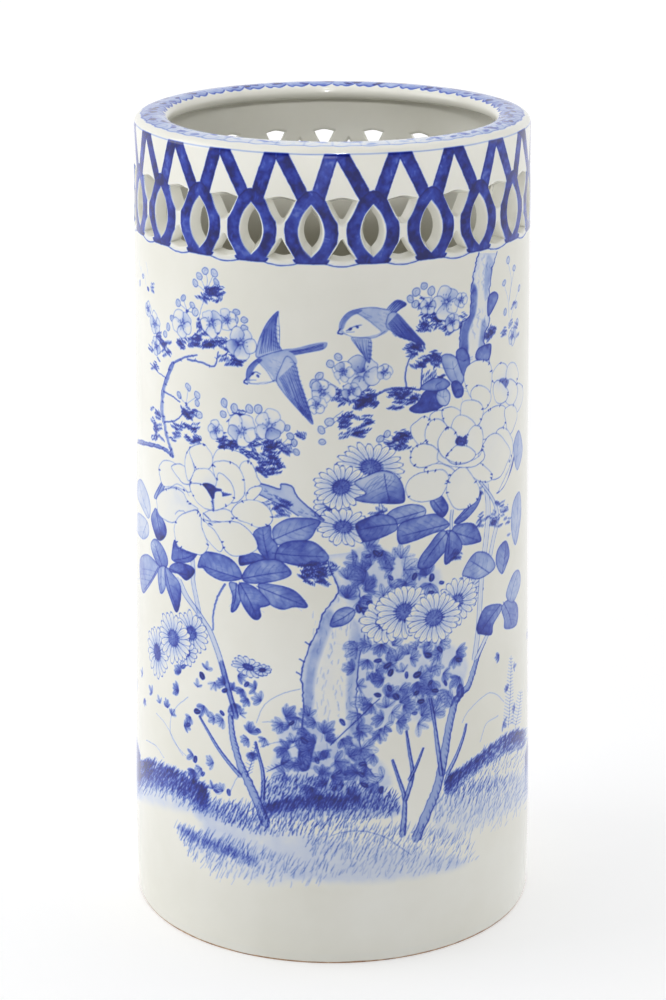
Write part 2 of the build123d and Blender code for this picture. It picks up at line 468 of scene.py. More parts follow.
def closed_wall(name, z_lo, z_hi, n_row, material, floor_cove=False):
    sh = Shell()
    painted_sheet(sh, z_lo, z_hi, n_row)
    ru, rl = float(radius(z_hi)), float(radius(z_lo))
    if floor_cove:
        rc = rl - WALL
        ang = np.linspace(0, math.pi / 2, 9)
        cove = np.stack([rc - COVE + COVE * np.sin(ang), z_lo + COVE - COVE * np.cos(ang)], -1)
        zi = np.linspace(z_lo + COVE, z_hi, 14)[1:]
        inner = np.vstack([cove, np.stack([radius(zi) - WALL, zi], -1)])
        inn = np.vstack([np.stack([-np.sin(ang), np.cos(ang)], -1), np.tile([-1.0, 0.0], (len(zi), 1))])
    else:
        zi = np.linspace(z_lo, z_hi, 14)
        inner = np.stack([radius(zi) - WALL, zi], -1); inn = np.tile([-1.0, 0.0], (len(zi), 1))
    # painted shade for the inner surface, greyer deeper down
    tone = np.repeat(inside_painted_shade(inner[:, 1]), N_COL)
    sh.lathe(inner, inn, tone, 0, (0.035, 0.085), flip=True, theta=THETA)
    sh.lathe(np.array([inner[-1], [ru, z_hi]]), np.array([[0, 1.0]] * 2), 0.0, 0, (0.09, 0.115), flip=True, theta=THETA)
    sh.lathe(np.array([[rl, z_lo], inner[0]]), np.array([[0, -1.0]] * 2), 0.0, 0, (0.003, 0.03), flip=True, theta=THETA)
    return sh.build(name, material)


# ------------------------------------------------------------ pierced gallery
LENS_B, LENS_T, LENS_H = 533.8, 568.4, 8.0
UP_PT, UP_TP, UP_H = 556.8, 573.4, 10.8
LOW_AP, LOW_BT, LOW_H = 545.4, 531.2, 9.2


def loop_angles():
    out = [WIDE_FIRST + WIDE_PITCH * i for i in range(WIDE_COUNT)]
    while len(out) < LOOPS:
        out.append(out[-1] + NARROW)
    return [a if a <= 180 else a - 360 for a in out]


LOOP_AT = sorted(loop_angles())
GAPS = []
for _i, _a in enumerate(LOOP_AT):
    _n = LOOP_AT[(_i + 1) % LOOPS] + (360.0 if _i == LOOPS - 1 else 0.0)
    GAPS.append(((_a + _n) / 2, _n - _a))


def openings():
    """Outlines of all the cut openings: (angle, closed outline in mm along the wall and up)."""
    zm = (LENS_B + LENS_T) / 2 - 0.8
    side = bez([(0, LENS_B), (LENS_H * .72, LENS_B + 7), (LENS_H, zm), (LENS_H * .70, LENS_T - 8), (0, LENS_T)], 7)
    lens = np.vstack([side, side[-2:0:-1] * [-1, 1]])
    up_r = bez([(UP_H, UP_TP - 1.4), (7.0, UP_PT + 8.0), (2.2, UP_PT), (0.0, UP_PT - 1.0)], 7)
    up_t = bez([(-UP_H, UP_TP - 1.4), (0, UP_TP + 0.6), (UP_H, UP_TP - 1.4)], 8)
    upper = np.vstack([up_t[:-1], up_r, (up_r * [-1, 1])[::-1][1:-1]])
    lo_r = bez([(0.7, LOW_AP), (4.4, LOW_AP - 6.4), (LOW_H, LOW_BT + 0.8)], 8)
    lo_b = bez([(LOW_H, LOW_BT + 0.8), (0, LOW_BT - 0.8), (-LOW_H, LOW_BT + 0.8)], 8)
    lower = np.vstack([lo_r[:-1], lo_b, (lo_r * [-1, 1])[::-1][:-1]])
    out = []
    for a in LOOP_AT:
        out.append((a, lens))
    for a, _ in GAPS:
        a = a if a <= 180 else a - 360
        out.append((a, upper)); out.append((a, lower))
    return out


def gallery(material):
    n_row = 128
    zz = np.linspace(Z_GAL, Z_RIM, n_row + 1)
    TH = np.concatenate([THETA, [THETA[0] + 2 * math.pi]])
    nc = N_COL
    R0 = 146.0
    sd = np.full((n_row + 1, nc), 50.0, np.float32)      # distance to the nearest opening, solid positive
    cth = np.broadcast_to(THETA[None], sd.shape).copy(); czz = np.broadcast_to(zz[:, None], sd.shape).copy()
    for a, P in openings():
        th0 = math.radians(a)
        lo, hi = P.min(0) - 4, P.max(0) + 4
        d = (THETA - th0 + math.pi) % (2 * math.pi) - math.pi
        cols = np.nonzero((d * R0 > lo[0]) & (d * R0 < hi[0]))[0]
        rows = np.nonzero((zz > lo[1]) & (zz < hi[1]))[0]
        X = (d[cols] * R0)[None]; Y = zz[rows][:, None]
        best = np.full((len(rows), len(cols)), 1e9); inside = np.zeros(best.shape, bool)
        Q = np.roll(P, -1, 0)
        for (ax, ay), (bx, by) in zip(P, Q):
            dx, dy = bx - ax, by - ay
            if dx * dx + dy * dy < 1e-12:
                continue
            t = np.clip(((X - ax) * dx + (Y - ay) * dy) / (dx * dx + dy * dy), 0, 1)
            best = np.minimum(best, (X - ax - t * dx) ** 2 + (Y - ay - t * dy) ** 2)
            if ay != by:
                inside ^= ((ay > Y) != (by > Y)) & (X < dx * (Y - ay) / dy + ax)
        s = np.where(inside, -1.0, 1.0) * np.sqrt(best)
        ix = np.ix_(rows, cols); near = s < sd[ix]
        cth[ix] = np.where(near, (THETA[cols] - d[cols])[None], cth[ix]); czz[ix] = np.where(near, (P[:, 1].min() + P[:, 1].max()) / 2, czz[ix])
        sd[ix] = np.minimum(sd[ix], s)
    # gradient of the distance, for the rounded edges
    gz = np.gradient(sd, zz, axis=0)
    ext = np.concatenate([sd[:, -1:], sd, sd[:, :1]], 1)
    the = np.concatenate([[THETA[-1] - 2 * math.pi], THETA, [THETA[0] + 2 * math.pi]])
    gs = np.gradient(ext, the * R0, axis=1)[:, 1:-1]
    step = 0.6
    snap = np.abs(sd) < 0.22 * step
    gl = np.maximum(np.hypot(gs, gz), 1e-3)
    TT = np.broadcast_to(THETA[None], sd.shape) - np.where(snap, sd * gs / gl**2, 0) / R0
    ZZ = np.broadcast_to(zz[:, None], sd.shape) - np.where(snap, sd * gz / gl**2, 0)
    inside = (sd > 0) | snap
    sdv = np.where(snap, 0.0, sd)
    # four corners of every cell, anticlockwise seen from outside
    J, I = np.meshgrid(np.arange(n_row), np.arange(nc), indexing="ij")
    I1 = (I + 1) % nc
    corner = [(J, I), (J, I1), (J + 1, I1), (J + 1, I)]
    n_node = sd.size
    node_id = np.arange(n_node).reshape(sd.shape)
    h_id = n_node + np.arange(n_node).reshape(sd.shape)            # edge from (j,i) to (j,i+1)
    v_id = 2 * n_node + np.arange(n_node).reshape(sd.shape)        # edge from (j,i) to (j+1,i)
    edge = [h_id[J, I], v_id[J, I1], h_id[np.minimum(J + 1, n_row), I], v_id[J, I]]
    cid = [node_id[c] for c in corner]; cin = [inside[c] for c in corner]; csn = [snap[c] for c in corner]
    slots, mask, exits, enters = [], [], np.full(J.shape, -1), np.full(J.shape, -1)
    col_of = [I, I, I + 1, I + 1, I + 1, I, I, I]
    for k in range(4):
        m = (k + 1) % 4
        slots.append(cid[k]); mask.append(cin[k])
        cross = cin[k] != cin[m]
        who = np.where(cin[k], csn[k], csn[m]); who_id = np.where(cin[k], cid[k], cid[m])
        slots.append(edge[k]); mask.append(cross & ~who)
        eid = np.where(who, who_id, edge[k])
        exits = np.where(cross & cin[k], eid, exits); enters = np.where(cross & ~cin[k], eid, enters)
    slots = np.stack(slots, -1).reshape(-1, 8); mask = np.stack(mask, -1).reshape(-1, 8)
    # positions of all nodes and of all crossing points
    i2 = (np.arange(nc) + 1) % nc
    th_n = TT.copy(); z_n = ZZ.copy()
    dth = np.diff(TH)[None]
    f = np.clip(sdv / np.where(np.abs(sdv - sdv[:, i2]) < 1e-9, 1, sdv - sdv[:, i2]), 0, 1)
    th_next = TT[:, i2].copy(); th_next[:, -1] += 2 * math.pi
    th_h = TT + (th_next - TT) * f; z_h = ZZ + (ZZ[:, i2] - ZZ) * f
    j2 = np.minimum(np.arange(n_row + 1) + 1, n_row)
    f = np.clip(sdv / np.where(np.abs(sdv - sdv[j2]) < 1e-9, 1, sdv - sdv[j2]), 0, 1)
    th_v = TT + (TT[j2] - TT) * f; z_v = ZZ + (ZZ[j2] - ZZ) * f
    th_all = np.concatenate([a.ravel() for a in (th_n, th_h, th_v)])
    z_all = np.concatenate([a.ravel() for a in (z_n, z_h, z_v)])
    d_all = np.concatenate([np.maximum(sdv, 0).ravel(), np.zeros(2 * n_node)])
    gs_u = gs / gl; gz_u = gz / gl
    gs_all = np.concatenate([gs_u.ravel()] * 3); gz_all = np.concatenate([gz_u.ravel()] * 3)
    cth_all = np.concatenate([cth.ravel()] * 3); czz_all = np.concatenate([czz.ravel()] * 3)
    K_IN = 0.74                                     # the openings narrow towards the inside

    def taper(t_, z_, d_, ct, cz, amount):
        k = 1 - (1 - K_IN) * amount * np.clip(1 - d_ / 5.0, 0, 1) ** 1.5
        return ct + (t_ - ct) * k, cz + (z_ - cz) * k
    keep = mask.sum(1) >= 3
    slots, mask = slots[keep], mask[keep]
    Jk, Ik = J.ravel()[keep], I.ravel()[keep]
    used = np.unique(slots[mask])
    remap = np.full(3 * n_node, -1, np.int64); remap[used] = np.arange(len(used))
    th, z, d = th_all[used], z_all[used], d_all[used]
    gsu, gzu = gs_all[used], gz_all[used]
    RR = 1.5
    q4 = N_COL // 4 // 8 * 8
    sh = Shell()
    ring_d = np.minimum(d, RR)
    drop = RR - np.sqrt(np.maximum(RR**2 - (RR - ring_d) ** 2, 0))
    sinp = np.clip((RR - ring_d) / RR, 0, 1) * 0.93
    cosp = np.sqrt(1 - sinp**2)
    ink_v = sample(ink_soft, th, z)
    uvcol = np.where(th < THETA[0], th + 2 * math.pi, th)

    def cols(theta_arr):
        return np.interp(theta_arr, THETA_END, np.arange(N_COL + 1))
    sizes = mask.sum(1)
    for side in (1, -1):
        Rb = radius(z) if side > 0 else radius(z) - WALL
        R = Rb - side * drop
        nr_, nz_ = slope_normal(z)
        er = side * nr_ * cosp; es = -gsu * sinp; ez = side * nz_ * cosp - gzu * sinp
        thp, zp = (th, z) if side > 0 else taper(th, z, d, cth_all[used], czz_all[used], 1.0)
        zp = np.clip(zp, Z_GAL, Z_RIM)
        s_, c_ = np.sin(thp), np.cos(thp)
        co = np.stack([R * s_, -R * c_, zp], -1)
        no = np.stack([er * s_ + es * c_, -er * c_ + es * s_, ez], -1)
        sl = slots if side > 0 else slots[:, ::-1]
        mk = mask if side > 0 else mask[:, ::-1]
        lp = remap[sl[mk]]
        # the wrap column: its far corners read past the last angle
        cc_ = cols(th)[lp]
        fi = np.repeat(Ik, mk.sum(1))
        cc_ = np.where((cc_ < 1.5) & (fi > N_COL // 2), cc_ + N_COL, cc_)
        rw = (z[lp] - Z_GAL) / (Z_RIM - Z_GAL) * n_row
        sec = np.minimum(fi // q4, 3)
        if side > 0:
            uv = sector_uv(cc_, rw, N_COL, n_row, sec)
            uv = uv * [1, 0.62] + [0, 0.0]
        else:
            uv = np.stack([0.002 + 0.996 * cc_ / N_COL, 0.70 + 0.20 * rw / n_row], -1)
        # the inner face carries the painted shade of the inside
        sh.add(co, no, ink_v if side > 0 else inside_painted_shade(z), lp, mk.sum(1), uv)
    # the walls of the openings
    okc = (exits >= 0) & (enters >= 0) & (exits != enters)
    e0, e1 = exits[okc], enters[okc]
    fi = I[okc]
    ids = np.unique(np.concatenate([e0, e1]))
    rm = np.full(3 * n_node, -1, np.int64); rm[ids] = np.arange(len(ids))
    th, z = th_all[ids], z_all[ids]
    gsu, gzu = gs_all[ids], gz_all[ids]
    layers = []
    s_, c_ = np.sin(th), np.cos(th)
    for dep, am in ((RR, 0.0), (WALL / 2, 0.55), (WALL - RR, 1.0)):
        R = radius(z) - dep
        thp, zp = taper(th, z, 0 * z, cth_all[ids], czz_all[ids], am)
        s_, c_ = np.sin(thp), np.cos(thp)
        co = np.stack([R * s_, -R * c_, zp], -1)
        no = np.stack([-gsu * c_ + .3 * s_, -gsu * s_ - .3 * c_, -gzu], -1)
        layers.append((co, no))
    n_id = len(ids)
    co = np.concatenate([l[0] for l in layers]); no = np.concatenate([l[1] for l in layers])
    faces, uvs = [], []
    cc0 = cols(th)
    ph = (z * 0.37) % 1.0
    for k in range(2):
        a, b = rm[e1] + k * n_id, rm[e0] + k * n_id
        quad = np.stack([a, b, b + n_id, a + n_id], -1)
        faces.append(quad)
        ca = cc0[rm[e1]]; cb = cc0[rm[e0]]
        far = np.abs(ca - cb) > N_COL / 2
        ca = np.where(far & (ca < cb), ca + N_COL, ca); cb = np.where(far & (cb < ca), cb + N_COL, cb)
        v0, v1 = 0.92 + 0.03 * k, 0.92 + 0.03 * (k + 1)
        uvs.append(np.stack([np.stack([ca / N_COL, cb / N_COL, cb / N_COL, ca / N_COL], -1) * 0.996 + 0.002,
                             np.stack([v0 + 0 * ca, v0 + 0 * ca, v1 + 0 * ca, v1 + 0 * ca], -1)], -1).reshape(-1, 2))
    faces = np.concatenate(faces)
    sh.add(co, no, np.zeros(len(co)), faces.ravel(), np.full(len(faces), 4), np.concatenate(uvs))
    for zc, up, vb in ((Z_RIM, 1.0, (0.64, 0.66)), (Z_GAL, -1.0, (0.67, 0.69))):
        ro = float(radius(zc)); prof = np.array([[ro - WALL, zc], [ro, zc]])
        if up < 0:
            prof = prof[::-1]
        sh.lathe(prof, np.array([[0, up]] * 2), 0.0, 0, vb, flip=True, theta=THETA)
    return sh.build("pierced_gallery_glazed", material)


# ------------------------------------------------------------------ rim flange
def rim_profile():
    """Outline of the rim from its outer edge over the crest to the mouth and round the lip down to its underside."""
    a = bez([(144.3, 598.0), (144.12, 603.4), (142.9, 606.3), (139.6, 608.5), (134.2, 609.7), (128.3, 610.0)], 8)
    b = bez([(128.3, 610.0), (123.6, 609.0), (120.1, 606.8), (118.6, 603.5), (119.8, 599.9), (123.0, 598.0)], 8)
    a[:, 1] = np.minimum(a[:, 1], 610.0); b[:, 1] = np.clip(b[:, 1], 598.0, 610.0)
    return np.vstack([a, b[1:]])


RIM = rim_profile()
RIM_S = np.concatenate([[0], np.cumsum(np.hypot(*np.diff(RIM, axis=0).T))])


def rim_piece(material):
    sh = Shell()
    s = np.linspace(0, RIM_S[-1], 84)
    pr = np.stack([np.interp(s, RIM_S, RIM[:, 0]), np.interp(s, RIM_S, RIM[:, 1])], -1)
    t = np.gradient(pr, axis=0); t /= np.linalg.norm(t, axis=1, keepdims=True)
    nrm = np.stack([t[:, 1], -t[:, 0]], -1)
    val = sample(rim_soft, THETA[None] + 0 * s[:, None], s[:, None] + 0 * THETA[None])
    sh.lathe(pr, nrm, val, 0, (0.10, 0.98), theta=THETA)
    under = np.array([[123.0, 598.0], [135.3, 598.0], [144.3, 598.0]])
    sh.lathe(under, np.array([[0, -1.0]] * 3), 0.0, 0, (0.02, 0.09), theta=THETA)
    return sh.build("rim_flange_glazed", material)


def slab_piece(material):
    sh = Shell()
    z = np.linspace(Z_FOOT, Z_SLAB, 9)
    nr_, nz_ = slope_normal(z)
    sh.lathe(np.stack([radius(z), z], -1), np.stack([nr_, nz_], -1), 0.0, 720, (0.75, 0.98))
    top_r = np.linspace(float(radius(Z_SLAB)), 3.0, 26)
    sh.lathe(np.stack([top_r, 0 * top_r + Z_SLAB], -1), np.tile([0, 1.0], (26, 1)), 0.0, 360, (0.40, 0.72))
    sh.lathe(np.stack([np.array([3.0, 0.02]), np.array([Z_SLAB] * 2)], -1), np.tile([0, 1.0], (2, 1)), 0.0, 24, (0.34, 0.38))
    bot_r = np.linspace(float(radius(Z_FOOT)), 3.0, 26)
    sh.lathe(np.stack([bot_r, 0 * bot_r + Z_FOOT], -1), np.tile([0, -1.0], (26, 1)), 0.0, 360, (0.05, 0.30), flip=True)
    sh.lathe(np.stack([np.array([3.0, 0.02]), np.array([Z_FOOT] * 2)], -1), np.tile([0, -1.0], (2, 1)), 0.0, 24, (0.0, 0.03), flip=True)
    return sh.build("base_slab_glazed", material)


def foot_piece(material):
    sh = Shell()
    z = np.array([0.0, 0.5, 1.0, 1.5, 2.0, 3.0, 4.0, 5.0, 6.5, 8.0])
    R = radius(z)
    nr_, nz_ = slope_normal(z)
    sh.lathe(np.stack([R, z], -1), np.stack([nr_, nz_], -1), 0.0, 1200, (0.45, 0.98))
    sh.lathe(np.array([[141.0, 0.0], [float(R[0]), 0.0]]), np.array([[0, -1.0]] * 2), 0.0, 1200, (0.25, 0.42))
    inner = np.array([[139.5, 8.0], [140.2, 4.0], [141.0, 0.0]])
    sh.lathe(inner, np.tile([-0.98, -0.18], (3, 1)), 0.0, 1200, (0.10, 0.22))
    sh.lathe(np.array([[float(R[-1]), 8.0], [139.5, 8.0]]), np.array([[0, 1.0]] * 2), 0.0, 1200, (0.0, 0.08))
    return sh.build("foot_ring_bisque", material)


# --------------------------------------------------------------- brush motifs
PX = 1.0 / 1.43                # millimetres for one unit of the view, near the front


def line(pts, w=0.55, a=0.62, n=6, taper=0.0):
    """A drawn line through view points, with a little unsteadiness."""
    q = bez(pts, n)
    q = q + rng.normal(0, 0.12, q.shape)
    brush(front(q), w, a, taper=taper)


def oval(rx, ry, n=10):
    t = np.linspace(0, 2 * math.pi, n, endpoint=False)
    return np.stack([rx * np.cos(t), ry * np.sin(t)], -1)


def closed(q):
    return np.vstack([q, q[:1]])


def bud(cx, cy, r=4.2, tone=0.16):
    P = at(cx, cy, PX, rng.uniform(0, 180))
    q = oval(r, r * rng.uniform(0.72, 0.95), 9) + rng.normal(0, 0.18, (9, 2))
    q = ring(q, 3)
    reserve(P(q)); wash(P(q), tone, rim=0.12)
    brush(P(closed(q)), 0.52, 0.62)
    brush(P([(-r * .5, -r * .2), (0, r * .3), (r * .45, r * .1)]), 0.4, 0.35)


def blossom(cx, cy, r=11.0, tone=0.14):
    P = at(cx, cy, PX, rng.uniform(0, 72))
    r = r * 1.16
    pets = []
    for k in range(5):
        s = rng.uniform(0.88, 1.08)
        q = np.array([(.10, .0), (.30, -.34), (.66, -.54), (.98, -.34), (1.06, .02), (.95, .36), (.64, .53), (.28, .33)]) * r * s
        q = ring(q + rng.normal(0, 0.04 * r, q.shape), 4)
        pets.append(turn(q, 72 * k + rng.normal(0, 5)))
    for q in pets:
        reserve(P(q))
    full = rng.integers(0, 5)
    for k, q in enumerate(pets):
        reserve(P(q), 0.15)
        tip = turn([(r, 0)], 72 * k)[0]
        c0, c1 = P([(0, 0)])[0], P([tip])[0]
        t = tone * (2.0 if k == full else rng.uniform(.5, 1.1))
        wash(P(q), 0.2, rim=0.07, rim_w=0.8, grad=(c0, c1, t * 1.7, t * 0.4))
        brush(P(closed(q)), 0.46, rng.uniform(.42, .66))
    wash(P(ring(oval(r * .36, r * .32, 9) * rng.uniform(.6, 1.2, (9, 1)), 3)), 0.26, soft=1.6)
    for k in range(9):
        a = 2 * math.pi * (k + rng.uniform(-.3, .3)) / 9; L = r * rng.uniform(0.28, 0.50)
        c, s = math.cos(a), math.sin(a)
        brush(P([(0.12 * r * c, 0.12 * r * s), (L * c, L * s)]), 0.32, 0.34)
        brush(P([(L * c, L * s), (L * c + .4, L * s + .3)]), 0.72, 0.55)


def needles(x0, y0, x1, y1, n=6, dark=0.95, size=1.0):
    """A tuft of short needles: small combs of parallel dark strokes over a paler wash."""
    for _ in range(n):
        u, v = rng.uniform(-1, 1, 2) * 0.86
        cx, cy = (x0 + x1) / 2 + u * (x1 - x0) / 2, (y0 + y1) / 2 + v * (y1 - y0) / 2
        P = at(cx, cy, PX, rng.uniform(-34, 34))
        m = int(rng.integers(4, 7)); gap = rng.uniform(1.9, 2.4) * size
        lean = math.radians(rng.choice([-1, 1]) * rng.uniform(30, 58)); L = rng.uniform(3.6, 5.2) * size
        wash(P(ring(oval(gap * m * .55, 2.6, 8) * rng.uniform(.7, 1.1, (8, 1)), 3)), rng.uniform(0.10, 0.24), soft=1.0)
        for row in range(int(rng.integers(1, 3))):
            for k in range(m):
                x = (k - (m - 1) / 2) * gap + row * gap * .5; y = row * L * .82 + rng.normal(0, .35)
                l = L * rng.uniform(.7, 1.1); an = lean + rng.normal(0, .16)
                c, s = math.cos(an), math.sin(an)
                brush(P([(x - l * c * .5, y - l * s * .5), (x, y + rng.normal(0, .2)), (x + l * c * .5, y + l * s * .5)]),
                      [0.50 * size, 0.78 * size, 0.28], dark * rng.uniform(0.7, 1.0))


def twig(pts, w=1.6, a=0.78, knots=True):
    """A branch: two drawn edges with blue between, thicker at its joints."""
    q = bez(pts, 7)
    n = len(q)
    W = np.linspace(1.0, 0.62, n) * w
    if knots:
        for k in range(3, n - 2, 6):
            W[max(k - 1, 0):k + 2] *= 1.22
    q = q + rng.normal(0, 0.18, q.shape)
    t = np.gradient(q, axis=0); t /= np.linalg.norm(t, axis=1, keepdims=True) + 1e-9
    nr = np.stack([-t[:, 1], t[:, 0]], -1)
    brush(front(q), np.maximum(W, 0.6), 0.50)
    brush(front(q + nr * W[:, None] * .62), np.maximum(W * .34, .42), a)
    brush(front(q - nr * W[:, None] * .62), np.maximum(W * .22, .32), a * .8)
    if knots:
        for k in range(4, n - 3, 7):
            s = 1 if rng.random() < .5 else -1
            e = q[k] + nr[k] * s * rng.uniform(1.6, 2.8) + t[k] * rng.uniform(.6, 1.8)
            brush(front([q[k], e]), [w * .5, 0.4], a)


def leaf(x0, y0, x1, y1, w, tone=0.42, tip=0.0, bend=0.0, dark=0.8, nv=5, cut=0.0):
    """A pointed veined leaf from its stalk to its tip; w is its half width."""
    p0, p1 = np.array([x0, y0], float), np.array([x1, y1], float)
    d = p1 - p0; L = np.hypot(*d); d = d / L; nrm = np.array([-d[1], d[0]])
    mid = lambda t: p0 + d * L * t + nrm * bend * 4 * t * (1 - t)
    T = np.array([0, .08, .2, .34, .48, .62, .74, .85, .94, 1.0]); W = np.array([0, .42, .80, 1.0, 1.0, .90, .76, .52, .26, 0])
    lo, hi = [], []
    for t, k in zip(T, W):
        c = mid(t)
        sa = 1 + rng.normal(0, .07) - (cut if (int(t * 100) % 2) else 0)
        sb = 1 + rng.normal(0, .07) - (cut if (int(t * 100) % 2 == 0) else 0)
        lo.append(c + nrm * w * k * sa); hi.append(c - nrm * w * k * sb)
    out = np.vstack([bez(lo, 3), bez(hi[::-1], 3)[1:-1]])
    F = front(out); g0, g1 = front([p0])[0], front([p1])[0]
    reserve(F)
    wash(F, tone, rim=0.26, rim_w=1.3, soft=0.5, grad=(g0, g1, tone * 0.72, min(tone * .8 + tip, 0.9)))
    wash(front(np.vstack([bez(lo, 3), bez([mid(t) for t in T[::-1]], 3)[1:-1]])), tone * 0.30, soft=1.6)
    for _ in range(3):
        t = rng.uniform(.25, .7); s = rng.choice([-1, 1]); c = mid(t) + nrm * s * w * .42
        brush(front([c - d * L * .10, c + d * L * .12]), w * .30, 0.34, how="wipe", taper=.8)
    brush(np.vstack([F, F[:1]]), 0.50, dark * 0.80)
    ml = np.array([mid(t) for t in np.linspace(0, 0.97, 8)])
    brush(front(ml), [0.7] * 4 + [0.6, 0.5, 0.4, 0.3], dark * .9)
    for k in range(1, nv + 1):
        t = k / (nv + 1.2); c = mid(t)
        ww = w * np.interp(t, T, W)
        for s in (-1, 1):
            e = c + nrm * s * ww * .86 + d * L * .17
            m = c + nrm * s * ww * .45 + d * L * .05
            brush(front(bez([c, m, e], 3)), 0.38, dark * 0.42)


def leafshape(pts, base, tip, t0=.4, t1=.6, veins=4, dark=.8):
    """A leaf drawn by its outline, darkening from base to tip, with curved veins."""
    q = np.asarray(pts, float); q = q + rng.normal(0, .35, q.shape)
    r = ring(q, 5); F = front(r); base, tip = np.array(base, float), np.array(tip, float)
    reserve(F)
    g0, g1 = front([base])[0], front([tip])[0]
    wash(F, .3, rim=.20, rim_w=1.2, grad=(g0, g1, t0 * .92, t1 * .92))
    d = tip - base; L = np.hypot(*d); d = d / max(L, 1e-6); nr = np.array([-d[1], d[0]])
    side = (r - base) @ nr
    wmax = max(side.max(), 1.0); wmin = min(side.min(), -1.0)
    for _ in range(3):
        c = base + d * L * rng.uniform(.25, .7) + nr * rng.uniform(wmin, wmax) * .5
        brush(front([c - d * L * .12, c + d * L * .12]), min(wmax - wmin, 12) * .12, 0.30, how="wipe", taper=.8)
    brush(front(bez([base, base + d * L * .5 + nr * rng.normal(0, 1), base + d * L * .93], 5)), [.65] * 8 + [.45] * 3, dark * .8)
    for k in range(1, veins + 1):
        t = k / (veins + 1.3)
        for s, w in ((1, wmax), (-1, -wmin)):
            c = base + d * L * t
            m = c + nr * s * w * .34 + d * L * .07; e = c + nr * s * w * (.70 - .25 * t) + d * L * .17
            brush(front(bez([c, m, e], 3)), .36, dark * rng.uniform(.25, .5))
    brush(np.vstack([F, F[:1]]), 0.48, dark)


def petal(P, ang, r0, r1, half, lobes=3, tone=0.07, deep=0.20, ink_a=0.62, ruffle=0.06):
    """One lobed petal of a full flower, about the flower's own centre."""
    t = np.linspace(-1, 1, lobes * 7 + 1)
    prof = 1 - 0.13 * np.abs(t) ** 3
    ph = np.abs(np.sin(lobes * math.pi * (t + 1) / 2)) ** 0.55
    rad = r1 * (prof - ruffle * (1 - ph) + rng.normal(0, .008, len(t)))
    a = np.radians(ang + half * t * (1 - 0.10 * (1 - np.abs(t))))
    edge = np.stack([rad * np.cos(a), rad * np.sin(a)], -1)
    b = math.radians(half * .55)
    base = [(r0 * math.cos(math.radians(ang) + b), r0 * math.sin(math.radians(ang) + b)),
            (r0 * math.cos(math.radians(ang) - b), r0 * math.sin(math.radians(ang) - b))]
    side1 = bez([edge[-1], (edge[-1] * .62 + np.array(base[0]) * .42), base[0]], 4)
    side0 = bez([base[1], (edge[0] * .62 + np.array(base[1]) * .42), edge[0]], 4)
    out = np.vstack([edge, side1[1:], side0[:-1]])
    F = P(out)
    reserve(F)
    c0 = P([(r0 * math.cos(math.radians(ang)), r0 * math.sin(math.radians(ang)))])[0]
    c1 = P([(r1 * math.cos(math.radians(ang)), r1 * math.sin(math.radians(ang)))])[0]
    wash(F, tone, rim=0.05, rim_w=1.2, grad=(c0, c1, deep, tone * .3))
    brush(P(np.vstack([side0, edge, side1])), 0.55, ink_a)
    for k in range(1, lobes):
        tt = -1 + 2 * k / lobes
        aa = math.radians(ang + half * tt * .98); rr = r1 * (1 - 0.13 * abs(tt) ** 3 - ruffle)
        c, s = math.cos(aa), math.sin(aa)
        brush(P([(rr * c, rr * s), (rr * .92 * c, rr * .92 * s), (rr * .84 * c, rr * .84 * s)]), [.6, .5, .25], ink_a * .9)
    for k in range(4):
        tt = rng.uniform(-.6, .6); aa = math.radians(ang + half * tt)
        c, s = math.cos(aa), math.sin(aa)
        brush(P([(r0 * 1.1 * c, r0 * 1.1 * s), (r0 + (r1 - r0) * .5) * np.array([c, s]), (r0 + (r1 - r0) * rng.uniform(.6, .8)) * np.array([c, s])]), [.45, .35, .2], 0.16)


def lobe(pts, base=None, deep=0.15, a=0.60, dots=3, n=4, tone=0.01):
    """A large petal drawn by its outline; base is where its pale shading gathers."""
    q = np.asarray(pts, float); q = q + rng.normal(0, .45, q.shape)
    r = ring(q, n); r = r + rng.normal(0, .10, r.shape)
    F = front(r)
    reserve(F)
    if base is None:
        wash(F, tone)
    else:
        far = 2 * q.mean(0) - np.array(base)
        wash(F, .1, grad=(front([base])[0], front([far])[0], deep * .5, 0.0))
    k0 = rng.integers(0, len(F)); FF = np.vstack([np.roll(F, -k0, 0), np.roll(F, -k0, 0)[:1]])
    al = a * (1 + .22 * np.sin(np.linspace(0, rng.uniform(8, 14), len(FF)) + rng.uniform(0, 6)))
    brush(FF, 0.50, al)
    c = r.mean(0)
    for _ in range(dots):
        k = rng.integers(0, len(r)); e = r[k] + (c - r[k]) * rng.uniform(.07, .15)
        brush(front([r[k], e]), [1.1, .5], min(a * 1.5, .9))


def heart(P, r, spikes=13):
    """The dark feathery middle of a full flower."""
    wash(P(ring(oval(r * .9, r * .7, 9) * rng.uniform(.8, 1.15, (9, 1)), 3)), 0.30, soft=1.0)
    for k in range(spikes):
        a = 2 * math.pi * k / spikes + rng.normal(0, .1); L = r * rng.uniform(.65, 1.15)
        c, s = math.cos(a), math.sin(a)
        brush(P([(r * .12 * c, r * .12 * s), (L * .6 * c, L * .6 * s), (L * c, L * s)]), [1.2, 1.0, .35], rng.uniform(.55, .85))
    for k in range(9):
        a = rng.uniform(0, 2 * math.pi); L = r * rng.uniform(1.1, 1.5)
        c, s = math.cos(a), math.sin(a)
        brush(P([(L * c, L * s), (L * 1.06 * c, L * 1.06 * s)]), .8, .6)


